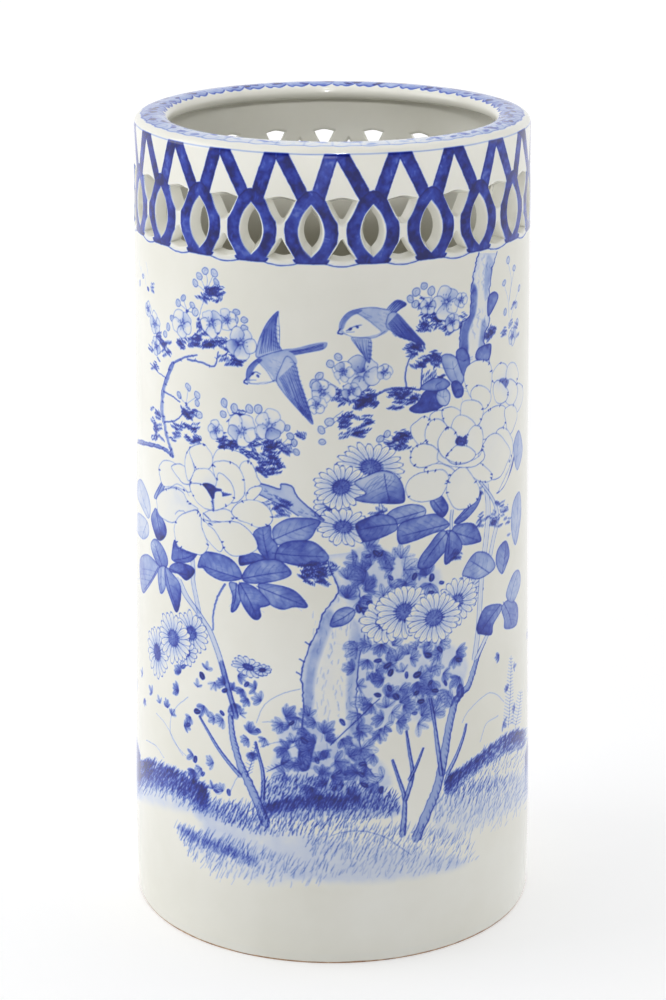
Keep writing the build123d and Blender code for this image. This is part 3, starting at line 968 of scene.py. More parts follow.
def mum(cx, cy, r, squash=1.0, n=17, rot=0.0, disc=0.28, tone=0.06):
    """A single chrysanthemum with narrow outlined petals round a blue disc."""
    r = r * 1.14
    base = at(cx, cy, PX, rot)
    P = lambda q: base(np.atleast_2d(q) * [1, squash])
    reserve(P(ring(oval(r * .93, r * .93, 14), 3)))
    for k in range(n):
        a = 360 * k / n + rng.normal(0, 2.0); L = r * rng.uniform(.9, 1.05)
        h = math.pi * r * .78 / n * rng.uniform(.9, 1.08)
        q = ring(np.array([(r * disc * .8, 0), (L * .45, -h * .75), (L * .78, -h), (L * .96, -h * .6), (L, 0), (L * .95, h * .6), (L * .78, h), (L * .45, h * .75)]), 3)
        q = turn(q, a)
        tip = turn([(r * disc, 0), (L * .8, 0)], a)
        reserve(P(q)); wash(P(q), tone, grad=(P(tip)[0], P(tip)[1], tone * 2.6, 0.0))
        brush(P(closed(q)), 0.44, 0.72)
        brush(P(turn([(L * 1.0, -h * .35), (L * 1.02, h * .35)], a)), .7, .55)
        for s in (-.3, .3):
            l = turn([(L * .45, h * s), (L * .84, h * s * .9)], a)
            brush(P(l), .34, .36)
    q = ring(oval(r * disc, r * disc, 12) * rng.uniform(.93, 1.07, (12, 1)), 3)
    reserve(P(q)); wash(P(q), 0.55, rim=.15, rim_w=.7)
    for k in range(26):
        a = 2 * math.pi * k / 26 + rng.normal(0, .04); c, s = math.cos(a), math.sin(a)
        brush(P([(r * disc * .9 * c, r * disc * .9 * s), (r * disc * 1.22 * c, r * disc * 1.22 * s)]), .5, .85)
    for k in range(15):
        a = 2 * math.pi * k / 15 + rng.normal(0, .05); c, s = math.cos(a), math.sin(a)
        brush(P([(r * disc * .45 * c, r * disc * .45 * s), (r * disc * .98 * c, r * disc * .98 * s)]), .42, .6)
    for k in range(6):
        u = rng.normal(0, r * disc * .25, 2); brush(P([u, u + .4]), .8, .55)


def sprig(cx, cy, r, ang, tone=0.3, dark=0.75, fingers=5):
    """A spray of small radiating leaves, as in the bushes."""
    P = at(cx, cy, PX, ang)
    for k in range(fingers):
        f = (k - (fingers - 1) / 2) / max(fingers - 1, 1)
        a = f * rng.uniform(95, 135); L = r * (1 - .35 * abs(f)) * rng.uniform(.85, 1.1); h = L * rng.uniform(.17, .25)
        q = turn(ring(np.array([(0, 0), (L * .35, -h * .9), (L * .68, -h), (L, 0), (L * .68, h), (L * .35, h * .9)]), 3), a)
        c0, c1 = P([(0, 0)])[0], P(turn([(L, 0)], a))[0]
        t = tone * rng.uniform(.6, 1.35)
        reserve(P(q), .7)
        wash(P(q), t, rim=.10, rim_w=.7, grad=(c0, c1, min(t * 1.5, .9), t * .6))
        if rng.random() < .7:
            brush(P(closed(q)), .40, dark * .5)
        brush(P(turn([(0, 0), (L * .5, .2), (L * .93, 0)], a)), [.5, .42, .28], dark * .85)
        for m in (.35, .55, .75):
            for s in (-1, 1):
                brush(P(turn([(L * m, 0), (L * (m + .13), s * h * .6)], a)), [.34, .25], dark * .4)


def berry(cx, cy, r=4.6, a=0.85):
    P = at(cx, cy, PX, rng.uniform(0, 180))
    q = ring(oval(r, r * rng.uniform(.5, .72), 8) * rng.uniform(.88, 1.1, (8, 1)), 3)
    wash(P(q), a, rim=.1)
    brush(P([(-r * .6, 0), (r * .6, .2)]), .45, .5, how="wipe")


def bush(spots, tones=(.2, .45), size=(9, 15)):
    for x, y in spots:
        sprig(x + rng.normal(0, 1.5), y + rng.normal(0, 1.5), rng.uniform(*size), rng.uniform(0, 360), rng.uniform(*tones), fingers=int(rng.integers(3, 7)))


def scatter(poly, gap):
    """Loose points inside a shape in the view."""
    poly = np.asarray(poly, float); lo, hi = poly.min(0), poly.max(0); out = []
    Q = np.roll(poly, -1, 0)
    y = lo[1]
    while y < hi[1]:
        x = lo[0] + rng.uniform(0, gap)
        while x < hi[0]:
            p = np.array([x, y]) + rng.normal(0, gap * .28, 2)
            c = False
            for a, b in zip(poly, Q):
                if (a[1] > p[1]) != (b[1] > p[1]) and p[0] < (b[0] - a[0]) * (p[1] - a[1]) / (b[1] - a[1]) + a[0]:
                    c = not c
            if c:
                out.append(p)
            x += gap
        y += gap * .8
    return out


def hatch(poly, gap, L, lean, w=0.6, a=(0.3, 0.7), fade=None, wash_a=0.0):
    """Grass: short slanting strokes filling a shape; fade = (y_dark, y_pale)."""
    if wash_a:
        wash(front(ring(poly, 3)), wash_a, soft=3.0)
    for x, y in scatter(poly, gap):
        k = 1.0
        if fade is not None:
            k = np.clip(1 - (y - fade[0]) / (fade[1] - fade[0]), 0.0, 1.0)
            if rng.random() > k + 0.12:
                continue
        l = rng.uniform(*L); an = math.radians(lean + rng.normal(0, 9))
        e = (x + l * math.cos(an), y - l * math.sin(an))
        brush(front([(x, y), ((x + e[0]) / 2 + rng.normal(0, .3), (y + e[1]) / 2), e]), [w, w * .9, w * .35], rng.uniform(*a) * (0.35 + .65 * k))


def bank(top, depth, dark=0.7):
    """A dark edge of turf along a line in the view, breaking up into strokes below."""
    q = bez(top, 10)
    wash(front(np.vstack([q + [0, 1], (q + [0, depth * .8])[::-1]])), dark * .24, soft=3.2, how="wet")
    n = int(len(q) * depth * 1.35)
    for k in range(n):
        i = rng.integers(0, len(q) - 1); f = rng.random(); v = rng.beta(1.0, 1.5)
        c = q[i] * (1 - f) + q[i + 1] * f + [rng.normal(0, 1), v * depth * 1.25 + rng.normal(0, .6)]
        an = math.radians(60 + rng.normal(0, 13)); L = rng.uniform(3.5, 7.5)
        brush(front([c, c + [L * math.cos(an), -L * math.sin(an)]]), [.72, .3], rng.uniform(.3, .85) * (1 - .45 * v) * (dark / .7))


def feathers(p0, p1, base0, base1, n, dark):
    """Flight feathers from a wing's base line to its tip line."""
    for k in range(n):
        f = k / max(n - 1, 1)
        a = np.array(base0) * (1 - f) + np.array(base1) * f; b = np.array(p0) * (1 - f) + np.array(p1) * f
        c = (a + b) / 2 + rng.normal(0, .4, 2)
        brush(front([a, c, b]), [.55, .6, .35], dark * rng.uniform(.7, 1))


def wing(pts, tone, p0, p1, b0, b1, n, dark=.6):
    q = ring(pts, 4); F = front(q)
    reserve(F)
    c0, c1 = front([np.mean([b0, b1], 0)])[0], front([np.mean([p0, p1], 0)])[0]
    wash(F, tone, rim=.14, rim_w=1.0, grad=(c0, c1, tone * .55, tone * 1.25))
    brush(front(closed(q)), .42, .62)
    feathers(p0, p1, b0, b1, n, dark)


def bird_one():
    wing([(256, 357), (257, 346), (261, 334), (268, 321), (278, 311), (276, 322), (275, 333), (278, 344), (281, 351), (268, 356)], .42, (264, 330), (278, 312), (259, 354), (279, 349), 11, .7)
    for k in range(6):
        line([(274 - k * .3, 324 + k * 4.2), (279, 327 + k * 4.2)], .42, .5)
    tail = ring([(282, 350), (296, 348), (312, 344), (325, 342), (327, 345), (322, 350), (306, 353), (288, 356)], 4)
    reserve(front(tail)); wash(front(tail), .30, rim=.2)
    for k in range(5):
        line([(284, 352 + k * .8), (304, 349 + k * 1.0), (323, 344 + k * 1.2)], .5, rng.uniform(.45, .85))
    body = ring([(246, 381), (247, 369), (256, 359.5), (268, 354), (283, 350), (293, 354), (297, 363), (290, 371), (283, 379), (274, 382), (262, 383), (252, 384)], 4)
    reserve(front(body)); wash(front(body), 0.26, rim=.08)
    for _ in range(26):
        x, y = rng.uniform(268, 292), rng.uniform(356, 374)
        line([(x, y), (x + rng.uniform(2, 5), y + rng.uniform(1, 3))], .45, rng.uniform(.12, .3))
    face = ring([(257, 362), (266, 369), (273, 380), (262, 382), (250, 383), (252, 372)], 4)
    reserve(front(face)); wash(front(face), .04)
    crown = ring([(247, 381), (247, 369), (256, 359.5), (262, 360), (256, 366), (251, 374)], 4)
    wash(front(crown), .36, rim=.12)
    brush(front(bez([(246, 381), (247, 369), (256, 359.5), (268, 354), (283, 350)], 5)), .5, .62)
    line([(247, 383), (258, 384), (268, 383), (275, 380)], .45, .5)
    line([(257, 361), (265, 369), (273, 381)], .5, .6)
    wing([(276, 380), (281, 366), (287, 356), (296, 366), (299, 381), (305, 398), (313, 424), (303, 415), (291, 402), (282, 391)], .34, (288, 398), (313, 423), (279, 378), (294, 364), 14, .62)
    for k in range(13):
        y = 362 + k * 4.4; x = 290 + k * 1.45
        line([(x, y), (x + 6.0 - k * .15, y + 1.5)], .42, .5)
    for k in range(5):
        line([(294 + k * 3.5, 398 + k * 4), (303 + k * 2.2, 416 + k * 1.5)], .5, .6)
    berry(252.5, 373.5, 2.2, .95); berry(257.5, 376, 1.8, .9); line([(249, 377), (255, 372), (260, 374)], .6, .75)
    line([(246, 379), (243.5, 382), (247, 384)], 1.0, .85); line([(249, 380), (256, 380)], .5, .6)


def bird_two():
    wing([(386, 311), (391, 304), (397, 300), (404, 302), (406, 305), (400, 309), (394, 313)], .50, (396, 301), (405, 304), (388, 311), (394, 313), 5, .75)
    body = ring([(339, 331), (340, 322), (347, 313), (358, 309), (373, 307.5), (388, 310), (394, 318), (390, 328), (384, 334), (372, 338), (358, 338), (347, 335)], 4)
    reserve(front(body)); wash(front(body), 0.26, rim=.08)
    for _ in range(22):
        x, y = rng.uniform(362, 390), rng.uniform(311, 326)
        line([(x, y), (x + rng.uniform(2, 5), y + rng.uniform(.5, 2.5))], .45, rng.uniform(.12, .3))
    face = ring([(357, 314), (369, 321), (381, 331), (370, 336), (356, 337), (346, 334), (342, 327), (348, 319)], 4)
    reserve(front(face)); wash(front(face), .05)
    wash(front(ring([(340, 328), (342, 320), (348, 313), (358, 309.5), (362, 311), (352, 316), (346, 322), (343, 329)], 4)), .34, rim=.1)
    brush(front(bez([(339, 331), (340, 322), (347, 313), (358, 309), (373, 307.5), (388, 310)], 5)), .5, .62)
    line([(342, 333), (352, 337), (364, 339), (376, 337), (385, 331)], .45, .5)
    line([(357, 313), (369, 321), (381, 331)], .5, .6)
    wing([(386, 326), (388, 315), (394, 312), (400, 316), (408, 325), (416, 334), (425, 345), (412, 341), (400, 337), (391, 331)], .50, (396, 336), (424, 345), (388, 324), (397, 314), 12, .75)
    for k in range(6):
        line([(392 + k * 4, 333 + k * 1.5), (396 + k * 4.4, 337 + k * 1.3)], .45, .6)
    wing([(351, 338), (360, 338), (370, 339), (371, 350), (369, 363), (363, 355), (357, 347)], .26, (361, 353), (369, 363), (353, 339), (368, 340), 9, .55)
    for k in range(5):
        line([(368, 342 + k * 4), (371.5, 343 + k * 4)], .5, .7)
    berry(350, 329, 2.0, .95); berry(357, 327, 1.8, .9); line([(346, 331), (353, 327), (361, 325)], .6, .7)
    line([(340, 329), (337.5, 333), (342, 334)], 1.0, .85); line([(346, 332), (354, 332)], .5, .55)


def old_trunk(left, right, tone=0.16, edge=0.75, shade=True):
    """A thick trunk between two drawn edges, pale inside with bark marks."""
    L, R = bez(left, 6), bez(right, 6)
    F = front(np.vstack([L, R[::-1]]))
    reserve(F); wash(F, tone * .6, rim=.16, rim_w=2.2, soft=.6)
    n = min(len(L), len(R))
    for k in range(n):
        i = rng.integers(0, n - 1); a = L[int(i * (len(L) - 1) / (n - 1))]; b = R[int(i * (len(R) - 1) / (n - 1))]
        f = rng.beta(.7, .7) * .9 + .05; c = a * (1 - f) + b * f
        d = rng.uniform(3, 9)
        brush(front([c, c + [rng.normal(0, .8), d * .5], c + [rng.normal(0, 1.4), d]]), [.5, .8, .3], rng.uniform(.08, .26))
    for side, w in ((L, 1.1), (R, 0.85)):
        q = side + rng.normal(0, .45, side.shape)
        brush(front(q), w * rng.uniform(.6, 1.2, len(q)), edge)


# ----------------------------------------------------------- the composition
def full_flower_left():
    c = (210, 490)
    lobe([(160, 477), (158, 467), (164, 460), (173, 462), (181, 470), (188, 482), (190, 492), (176, 487), (164, 486)], c, .12)
    lobe([(172, 466), (180, 464), (187, 470), (190, 482), (184, 484), (177, 476)], c, .12, dots=1)
    lobe([(185, 470), (185, 458), (188, 450), (192, 447), (193, 460), (194, 472), (189, 480)], c, .14, dots=2)
    lobe([(212, 466), (213, 455), (218, 449), (229, 449), (241, 453), (249, 461), (240, 472), (226, 472)], c, .12, dots=4)
    lobe([(238, 474), (240, 464), (248, 461), (253, 467), (257, 477), (260, 484), (254, 488), (247, 495), (243, 488)], c, .12, dots=3)
    lobe([(191, 455), (190, 448), (195, 444), (203, 444), (208, 449), (212, 456), (212, 465), (207, 470), (198, 470), (193, 464)], c, .12, dots=4)
    lobe([(245, 497), (250, 489), (257, 486), (262, 488), (258, 495), (250, 502)], c, .1, dots=2)
    lobe([(214, 474), (214, 463), (221, 461), (230, 462), (238, 467), (243, 477), (245, 488), (243, 497), (234, 503), (222, 498)], c, .14, dots=4)
    lobe([(157, 508), (157, 498), (163, 490), (173, 488), (182, 493), (188, 502), (198, 509), (187, 513), (180, 520), (172, 523), (163, 519), (158, 513)], c, .20, dots=5)
    line([(175, 514), (178, 511), (183, 511), (185, 513)], .5, .5)
    line([(168, 489), (177, 484), (185, 489), (189, 496)], .5, .4)
    lobe([(203, 513), (214, 510), (226, 510), (234, 515), (230, 521), (218, 522), (206, 520)], c, .24, dots=1)
    lobe([(200, 518), (208, 524), (216, 532), (222, 545), (219, 552), (209, 543), (203, 532)], c, .12, dots=3)
    lobe([(175, 537), (174, 528), (178, 518), (186, 512), (197, 510), (201, 516), (202, 528), (206, 538), (207, 547), (202, 554), (194, 553), (184, 550), (178, 545)], c, .16, dots=6)
    lobe([(208, 523), (218, 521), (232, 521), (243, 525), (251, 533), (256, 542), (257, 549), (251, 554), (241, 556), (231, 555), (225, 550), (221, 543), (214, 530)], c, .15, dots=5)
    lobe([(232, 512), (237, 504), (247, 500), (258, 501), (267, 507), (272, 515), (271, 522), (265, 526), (256, 527), (247, 523), (238, 520)], c, .16, dots=5)
    lobe([(190, 484), (191, 476), (196, 470), (203, 468), (210, 470), (216, 477), (218, 487), (208, 492), (197, 488)], c, .24, dots=3)
    lobe([(216, 485), (217, 474), (223, 475), (230, 481), (234, 491), (233, 500), (226, 507), (213, 510), (210, 499)], c, .14, dots=4)
    lobe([(190, 484), (198, 483), (206, 486), (211, 493), (212, 502), (213, 510), (205, 508), (197, 502), (192, 493)], c, .14, dots=5)
    q = ring([(202, 484), (207, 483), (213, 485), (216, 488), (221, 489), (221, 491), (215, 492), (214, 498), (212, 499), (209, 494), (206, 489)], 3)
    wash(front(q), .80, rim=.15)
    for k in range(6):
        line([(212, 500 + k * 2), (213.4, 501 + k * 2)], .9, .6); line([(221 + k * 2, 491.5 + k * .6), (222.4, 493 + k * .6)], .9, .6)
    for k in range(4):
        line([(203 + k * 1.6, 513 + k * 1.6), (205 + k * 1.8, 515 + k * 1.7)], .8, .5)


def full_flower_right():
    c = (460, 441)
    # the smaller flower behind
    for p in ([(491, 380), (493, 370), (500, 362), (507, 366), (506, 378), (498, 384)], [(505, 376), (508, 364), (515, 364), (518, 376), (513, 386), (507, 386)],
              [(512, 398), (516, 384), (522, 386), (522, 402), (516, 412)], [(505, 386), (510, 379), (516, 384), (517, 395), (512, 405), (506, 402)],
              [(494, 396), (493, 385), (498, 380), (504, 385), (508, 393), (505, 402), (498, 403)]):
        lobe(p, (503, 383), .22, dots=3)
    wash(front(ring([(499, 380), (504, 378), (509, 381), (506, 388), (504, 385)], 3)), .6)
    lobe([(466, 386), (464, 376), (468, 366), (476, 361), (486, 361), (491, 368), (491, 380), (489, 394), (481, 399), (471, 397)], c, .10, dots=5)
    lobe([(483, 440), (480, 428), (482, 416), (488, 410), (496, 406), (504, 405), (508, 414), (506, 424), (498, 431), (490, 436)], c, .14, dots=4)
    lobe([(505, 410), (512, 405), (517, 414), (514, 430), (508, 434), (506, 424)], c, .12, dots=3)
    lobe([(471, 396), (472, 388), (478, 385), (485, 387), (490, 393), (490, 401), (484, 409), (476, 405)], c, .12, dots=5)
    lobe([(430, 418), (433, 412), (441, 410), (446, 414), (444, 424), (436, 426)], c, .12, dots=3)
    lobe([(412, 437), (411, 428), (416, 421), (424, 417), (430, 421), (428, 430), (425, 440), (418, 445)], c, .12, dots=4)
    lobe([(442, 416), (443, 410), (449, 407), (456, 408), (461, 413), (463, 421), (455, 428), (446, 426)], c, .13, dots=5)
    lobe([(460, 409), (463, 402), (470, 399), (478, 401), (483, 407), (482, 417), (476, 427), (466, 428), (461, 419)], c, .14, dots=5)
    lobe([(425, 433), (428, 424), (434, 419), (442, 420), (447, 428), (445, 441), (438, 449), (431, 447), (426, 441)], c, .14, dots=5)
    lobe([(410, 457), (413, 449), (421, 444), (431, 445), (438, 451), (442, 458), (434, 464), (422, 468), (413, 464)], c, .15, dots=5)
    lobe([(496, 434), (502, 428), (508, 431), (512, 442), (512, 454), (508, 462), (504, 446)], c, .1, dots=3)
    lobe([(484, 442), (489, 436), (497, 434), (505, 440), (510, 452), (507, 465), (500, 476), (492, 481), (484, 475), (477, 463), (480, 451)], c, .15, dots=5)
    lobe([(424, 470), (430, 465), (440, 464), (450, 467), (456, 473), (444, 477), (432, 476)], c, .14, dots=4)
    lobe([(405, 491), (408, 481), (416, 474), (428, 471), (442, 471), (449, 478), (446, 489), (440, 497), (430, 501), (418, 502), (409, 499)], c, .16, dots=6)
    lobe([(466, 467), (472, 462), (479, 462), (485, 466), (492, 474), (489, 481), (480, 482), (471, 477)], c, .14, dots=5)
    lobe([(446, 489), (448, 479), (455, 470), (464, 467), (472, 476), (479, 487), (478, 497), (472, 505), (464, 510), (455, 508), (449, 500)], c, .16, dots=6)
    lobe([(437, 459), (440, 448), (450, 462), (463, 464), (478, 457), (482, 448), (484, 458), (474, 466), (460, 468), (446, 466)], c, .2, dots=3)
    lobe([(450, 429), (453, 420), (460, 416), (469, 418), (475, 426), (472, 435), (466, 440), (459, 438), (453, 434)], c, .16, dots=4)
    lobe([(439, 451), (438, 440), (443, 430), (449, 427), (455, 432), (458, 440), (456, 449), (449, 457), (443, 457)], c, .16, dots=5)
    lobe([(466, 440), (470, 430), (476, 425), (482, 430), (483, 441), (480, 451), (473, 456), (467, 447)], c, .16, dots=5)
    lobe([(446, 457), (451, 450), (458, 446), (467, 446), (474, 451), (475, 457), (468, 462), (458, 463), (450, 461)], c, .14, dots=6)
    wash(front(ring([(455, 441), (459, 436), (462, 438), (466, 435), (466, 443), (462, 446), (457, 445)], 3)), .72, rim=.15)
    for _ in range(12):
        x, y = rng.uniform(455, 467), rng.uniform(435, 446)
        line([(x, y), (x + 1.2, y + .8)], .8, .7)


def plum_left():
    needles(194, 286, 224, 302, 8); needles(178, 334, 200, 352, 9); needles(202, 330, 226, 350, 8); needles(222, 349, 242, 367, 6); needles(148, 336, 168, 362, 9)
    needles(180, 402, 196, 420, 6); needles(151, 408, 162, 440, 8); needles(172, 425, 198, 445, 9)
    needles(194, 284, 224, 302, 7); needles(198, 318, 206, 348, 4); needles(176, 333, 201, 352, 7); needles(202, 330, 226, 350, 7)
    needles(220, 349, 242, 367, 6); needles(147, 334, 170, 362, 8); needles(149, 360, 157, 370, 2); needles(226, 326, 241, 334, 3)
    needles(178, 400, 196, 421, 5); needles(150, 404, 163, 442, 7); needles(170, 424, 200, 446, 8); needles(148, 284, 156, 300, 2)
    twig([(173, 363), (185, 357), (197, 355)], 1.3); twig([(187, 359), (200, 362), (214, 366), (218, 352)], 1.1)
    twig([(173, 363), (168, 375), (163, 391), (162, 408), (164, 422), (168, 440), (173, 456)], 2.4)
    twig([(138, 441), (148, 444), (157, 446), (166, 450), (173, 457)], 2.6)
    twig([(163, 391), (172, 396), (180, 402)], .9, knots=False); twig([(164, 422), (176, 420), (184, 412)], .9, knots=False)
    line([(150, 363), (158, 372), (166, 378)], .8, .7)
    for q in ([(205, 271), (207, 280), (206, 292)], [(214, 273), (210, 282), (206, 292)], [(199, 276), (203, 284), (206, 292)], [(195, 283), (201, 288), (206, 293)], [(216, 282), (211, 288), (206, 293)]):
        line(q, .45, .6)
    for q in ([(206, 292), (203, 302), (200, 312), (198, 322)], [(187, 311), (185, 305), (183, 298)], [(187, 311), (183, 307), (178, 303)], [(187, 311), (190, 308), (192, 305)], [(187, 311), (191, 312), (195, 312)], [(187, 311), (186, 317), (183, 322)]):
        line(q, .5, .6)
    for x, y in ((205, 271), (214, 273), (199, 276), (195, 283), (216, 282), (183, 298), (178, 303), (192, 305), (195, 312), (165, 334), (235, 320), (244, 320), (244, 328), (188, 387), (179, 395), (197, 395), (197, 403), (199, 415), (168, 327), (236, 312), (172, 318)):
        bud(x, y, rng.uniform(3.6, 4.6))
    for x, y in ((187, 311), (206, 291), (198, 319), (186, 404)):
        berry(x, y, 2.4, .8)
    line([(186, 404), (187, 396), (188, 389)], .45, .55); line([(186, 404), (182, 400), (180, 397)], .45, .55); line([(186, 404), (192, 400), (196, 397)], .45, .55)
    for x, y, r in ((227, 320, 9), (155, 324, 10), (182, 324, 12.5), (211, 323, 12.5), (156, 346, 8), (148, 309, 7)):
        blossom(x, y, r)
    blossom(241, 343, 13.5, 0.22)
    # faint spray near the edge
    for x, y in ((139, 260), (141, 266), (144, 272), (146, 262)):
        line([(x, y), (x + 1, y + 6), (x + 2, y + 13)], .4, .35)
    berry(148, 289, 3.5, .7)
    bud(140, 283, 3.5); bud(143, 276, 3.2)


def plum_middle():
    needles(214, 438, 284, 460, 26, .98, 1.05); needles(256, 459, 283, 476, 8); needles(230, 412, 250, 425, 5)
    needles(332, 388, 376, 412, 16); needles(340, 414, 373, 438, 11); needles(388, 390, 417, 413, 10); needles(421, 375, 446, 390, 7); needles(382, 432, 416, 455, 11); needles(412, 353, 440, 368, 9); needles(405, 346, 420, 356, 4)
    needles(213, 436, 284, 460, 20, .95, 1.05); needles(228, 414, 249, 425, 4); needles(255, 459, 283, 476, 7); needles(296, 432, 312, 446, 2)
    needles(278, 444, 300, 456, 3)
    for q in ([(224, 403), (228, 412), (232, 420)], [(234, 408), (233, 414), (233, 421)], [(249, 409), (243, 415), (236, 421)], [(290, 436), (284, 442), (277, 447)], [(294, 443), (286, 446), (278, 449)], [(296, 452), (288, 451), (279, 451)]):
        line(q, .45, .6)
    for x, y in ((224, 403), (234, 408), (223, 414), (249, 409), (290, 436), (294, 443), (296, 452), (258, 409), (287, 428)):
        bud(x, y, rng.uniform(3.6, 4.8))
    blossom(242, 431, 14); blossom(269, 426, 14); blossom(216, 430, 8)
    # sprays between the birds
    needles(331, 388, 377, 412, 13); needles(338, 414, 374, 439, 9); needles(386, 389, 418, 413, 9); needles(420, 375, 446, 390, 7)
    needles(404, 346, 421, 356, 4); needles(411, 352, 441, 368, 8); needles(380, 431, 417, 455, 9)
    for q in ([(330, 364), (334, 374), (340, 384)], [(319, 376), (328, 382), (338, 388)], [(329, 422), (336, 416), (343, 411)], [(321, 430), (332, 424), (342, 416)], [(387, 434), (394, 437), (400, 440)], [(380, 439), (390, 441), (399, 441)]):
        line(q, .5, .6)
    twig([(357, 407), (370, 398), (386, 390), (396, 388), (406, 388), (420, 390)], 1.5)
    twig([(406, 388), (405, 374), (408, 362), (411, 356)], 1.0, knots=False); twig([(421, 389), (421, 379), (422, 369)], 1.0, knots=False)
    twig([(343, 386), (350, 396), (357, 407)], 1.2, knots=False)
    for x, y in ((330, 364), (319, 376), (329, 422), (321, 430), (322, 442), (387, 434), (380, 439), (338, 357), (313, 384)):
        bud(x, y, rng.uniform(3.6, 4.8))
    blossom(322, 392, 11); blossom(362, 374, 16, .18); blossom(343, 372, 9); blossom(316, 405, 8); blossom(351, 391, 8, .2); blossom(384, 372, 7)


def trunk_right():
    needles(418, 304, 468, 334, 24, .98); needles(484, 328, 497, 341, 4); needles(454, 352, 466, 364, 4)
    needles(417, 303, 468, 334, 19, .95); needles(414, 293, 428, 306, 3); needles(484, 328, 497, 341, 4)
    for q in ([(416, 292), (424, 300), (431, 308)], [(431, 291), (432, 300), (434, 308)], [(415, 304), (424, 308), (433, 311)]):
        line(q, .5, .6)
    old_trunk([(479, 253), (475, 268), (472, 282), (471, 299), (469, 317), (462, 322), (460, 336), (459, 351), (457, 368)],
              [(497, 253), (493, 265), (491, 275), (489, 297), (489, 319), (484, 338), (486, 350), (489, 361), (488, 372)], .10)
    wash(front(ring([(472, 285), (477, 290), (476, 310), (472, 322), (468, 335), (468, 352), (462, 362), (460, 340), (463, 323), (470, 315)], 4)), .5, soft=2.0)
    wash(front(ring([(487, 256), (493, 262), (489, 284), (485, 300), (484, 280)], 4)), .22, soft=2.0)
    wash(front(ring([(482, 320), (486, 324), (483, 345), (478, 352), (480, 334)], 4)), .25, soft=2.0)
    for q in ([(488, 316), (488, 298), (494, 292), (498, 296), (495, 305)], [(476, 359), (478, 349), (489, 344), (491, 348), (488, 360)]):
        f = ring(q, 4); reserve(front(f)); wash(front(f), .55, rim=.2); brush(front(closed(f)), .7, .8)
    for x, y in ((416, 292), (431, 291), (415, 304), (410, 299), (424, 286)):
        bud(x, y, rng.uniform(3.8, 4.8))
    blossom(446, 302, 14.5); blossom(428, 306, 8); blossom(461, 300, 7); blossom(452, 322, 8, .2)
    # faint sprays at the right-hand edge
    for q in ([(508, 262), (511, 280), (509, 300)], [(514, 270), (511, 286), (509, 302)], [(518, 290), (514, 305), (510, 322)], [(504, 285), (508, 300), (509, 318)]):
        line(q, .45, .42)
    for x, y in ((508, 260), (514, 268), (519, 288), (504, 283), (516, 305), (505, 312), (517, 322)):
        bud(x, y, 3.8, .12)
    needles(502, 322, 520, 345, 6, .7); needles(505, 300, 516, 312, 2, .7); blossom(512, 336, 8)


def leaves_upper_right():
    for q, t in (([(441, 358), (448, 354), (456, 358), (462, 370), (463, 382), (456, 386), (447, 376)], .30), ([(456, 352), (463, 348), (469, 356), (469, 368), (464, 376), (459, 366)], .45),
                 ([(451, 384), (457, 381), (463, 388), (462, 396), (455, 397)], .55), ([(409, 409), (418, 402), (424, 392), (436, 388), (446, 392), (448, 400), (440, 408), (428, 412), (416, 413)], .66),
                 ([(436, 398), (438, 391), (446, 389), (450, 396), (447, 405), (440, 405)], .22), ([(420, 388), (430, 380), (442, 378), (450, 384), (442, 390), (430, 391)], .40)):
        f = ring(q, 4); reserve(front(f)); wash(front(f), t, rim=.2, rim_w=1.4); brush(front(closed(f)), .55, .72)
        m = np.mean(q, 0)
        for _ in range(4):
            e = m + rng.normal(0, 6, 2); line([m, e], .45, .35)


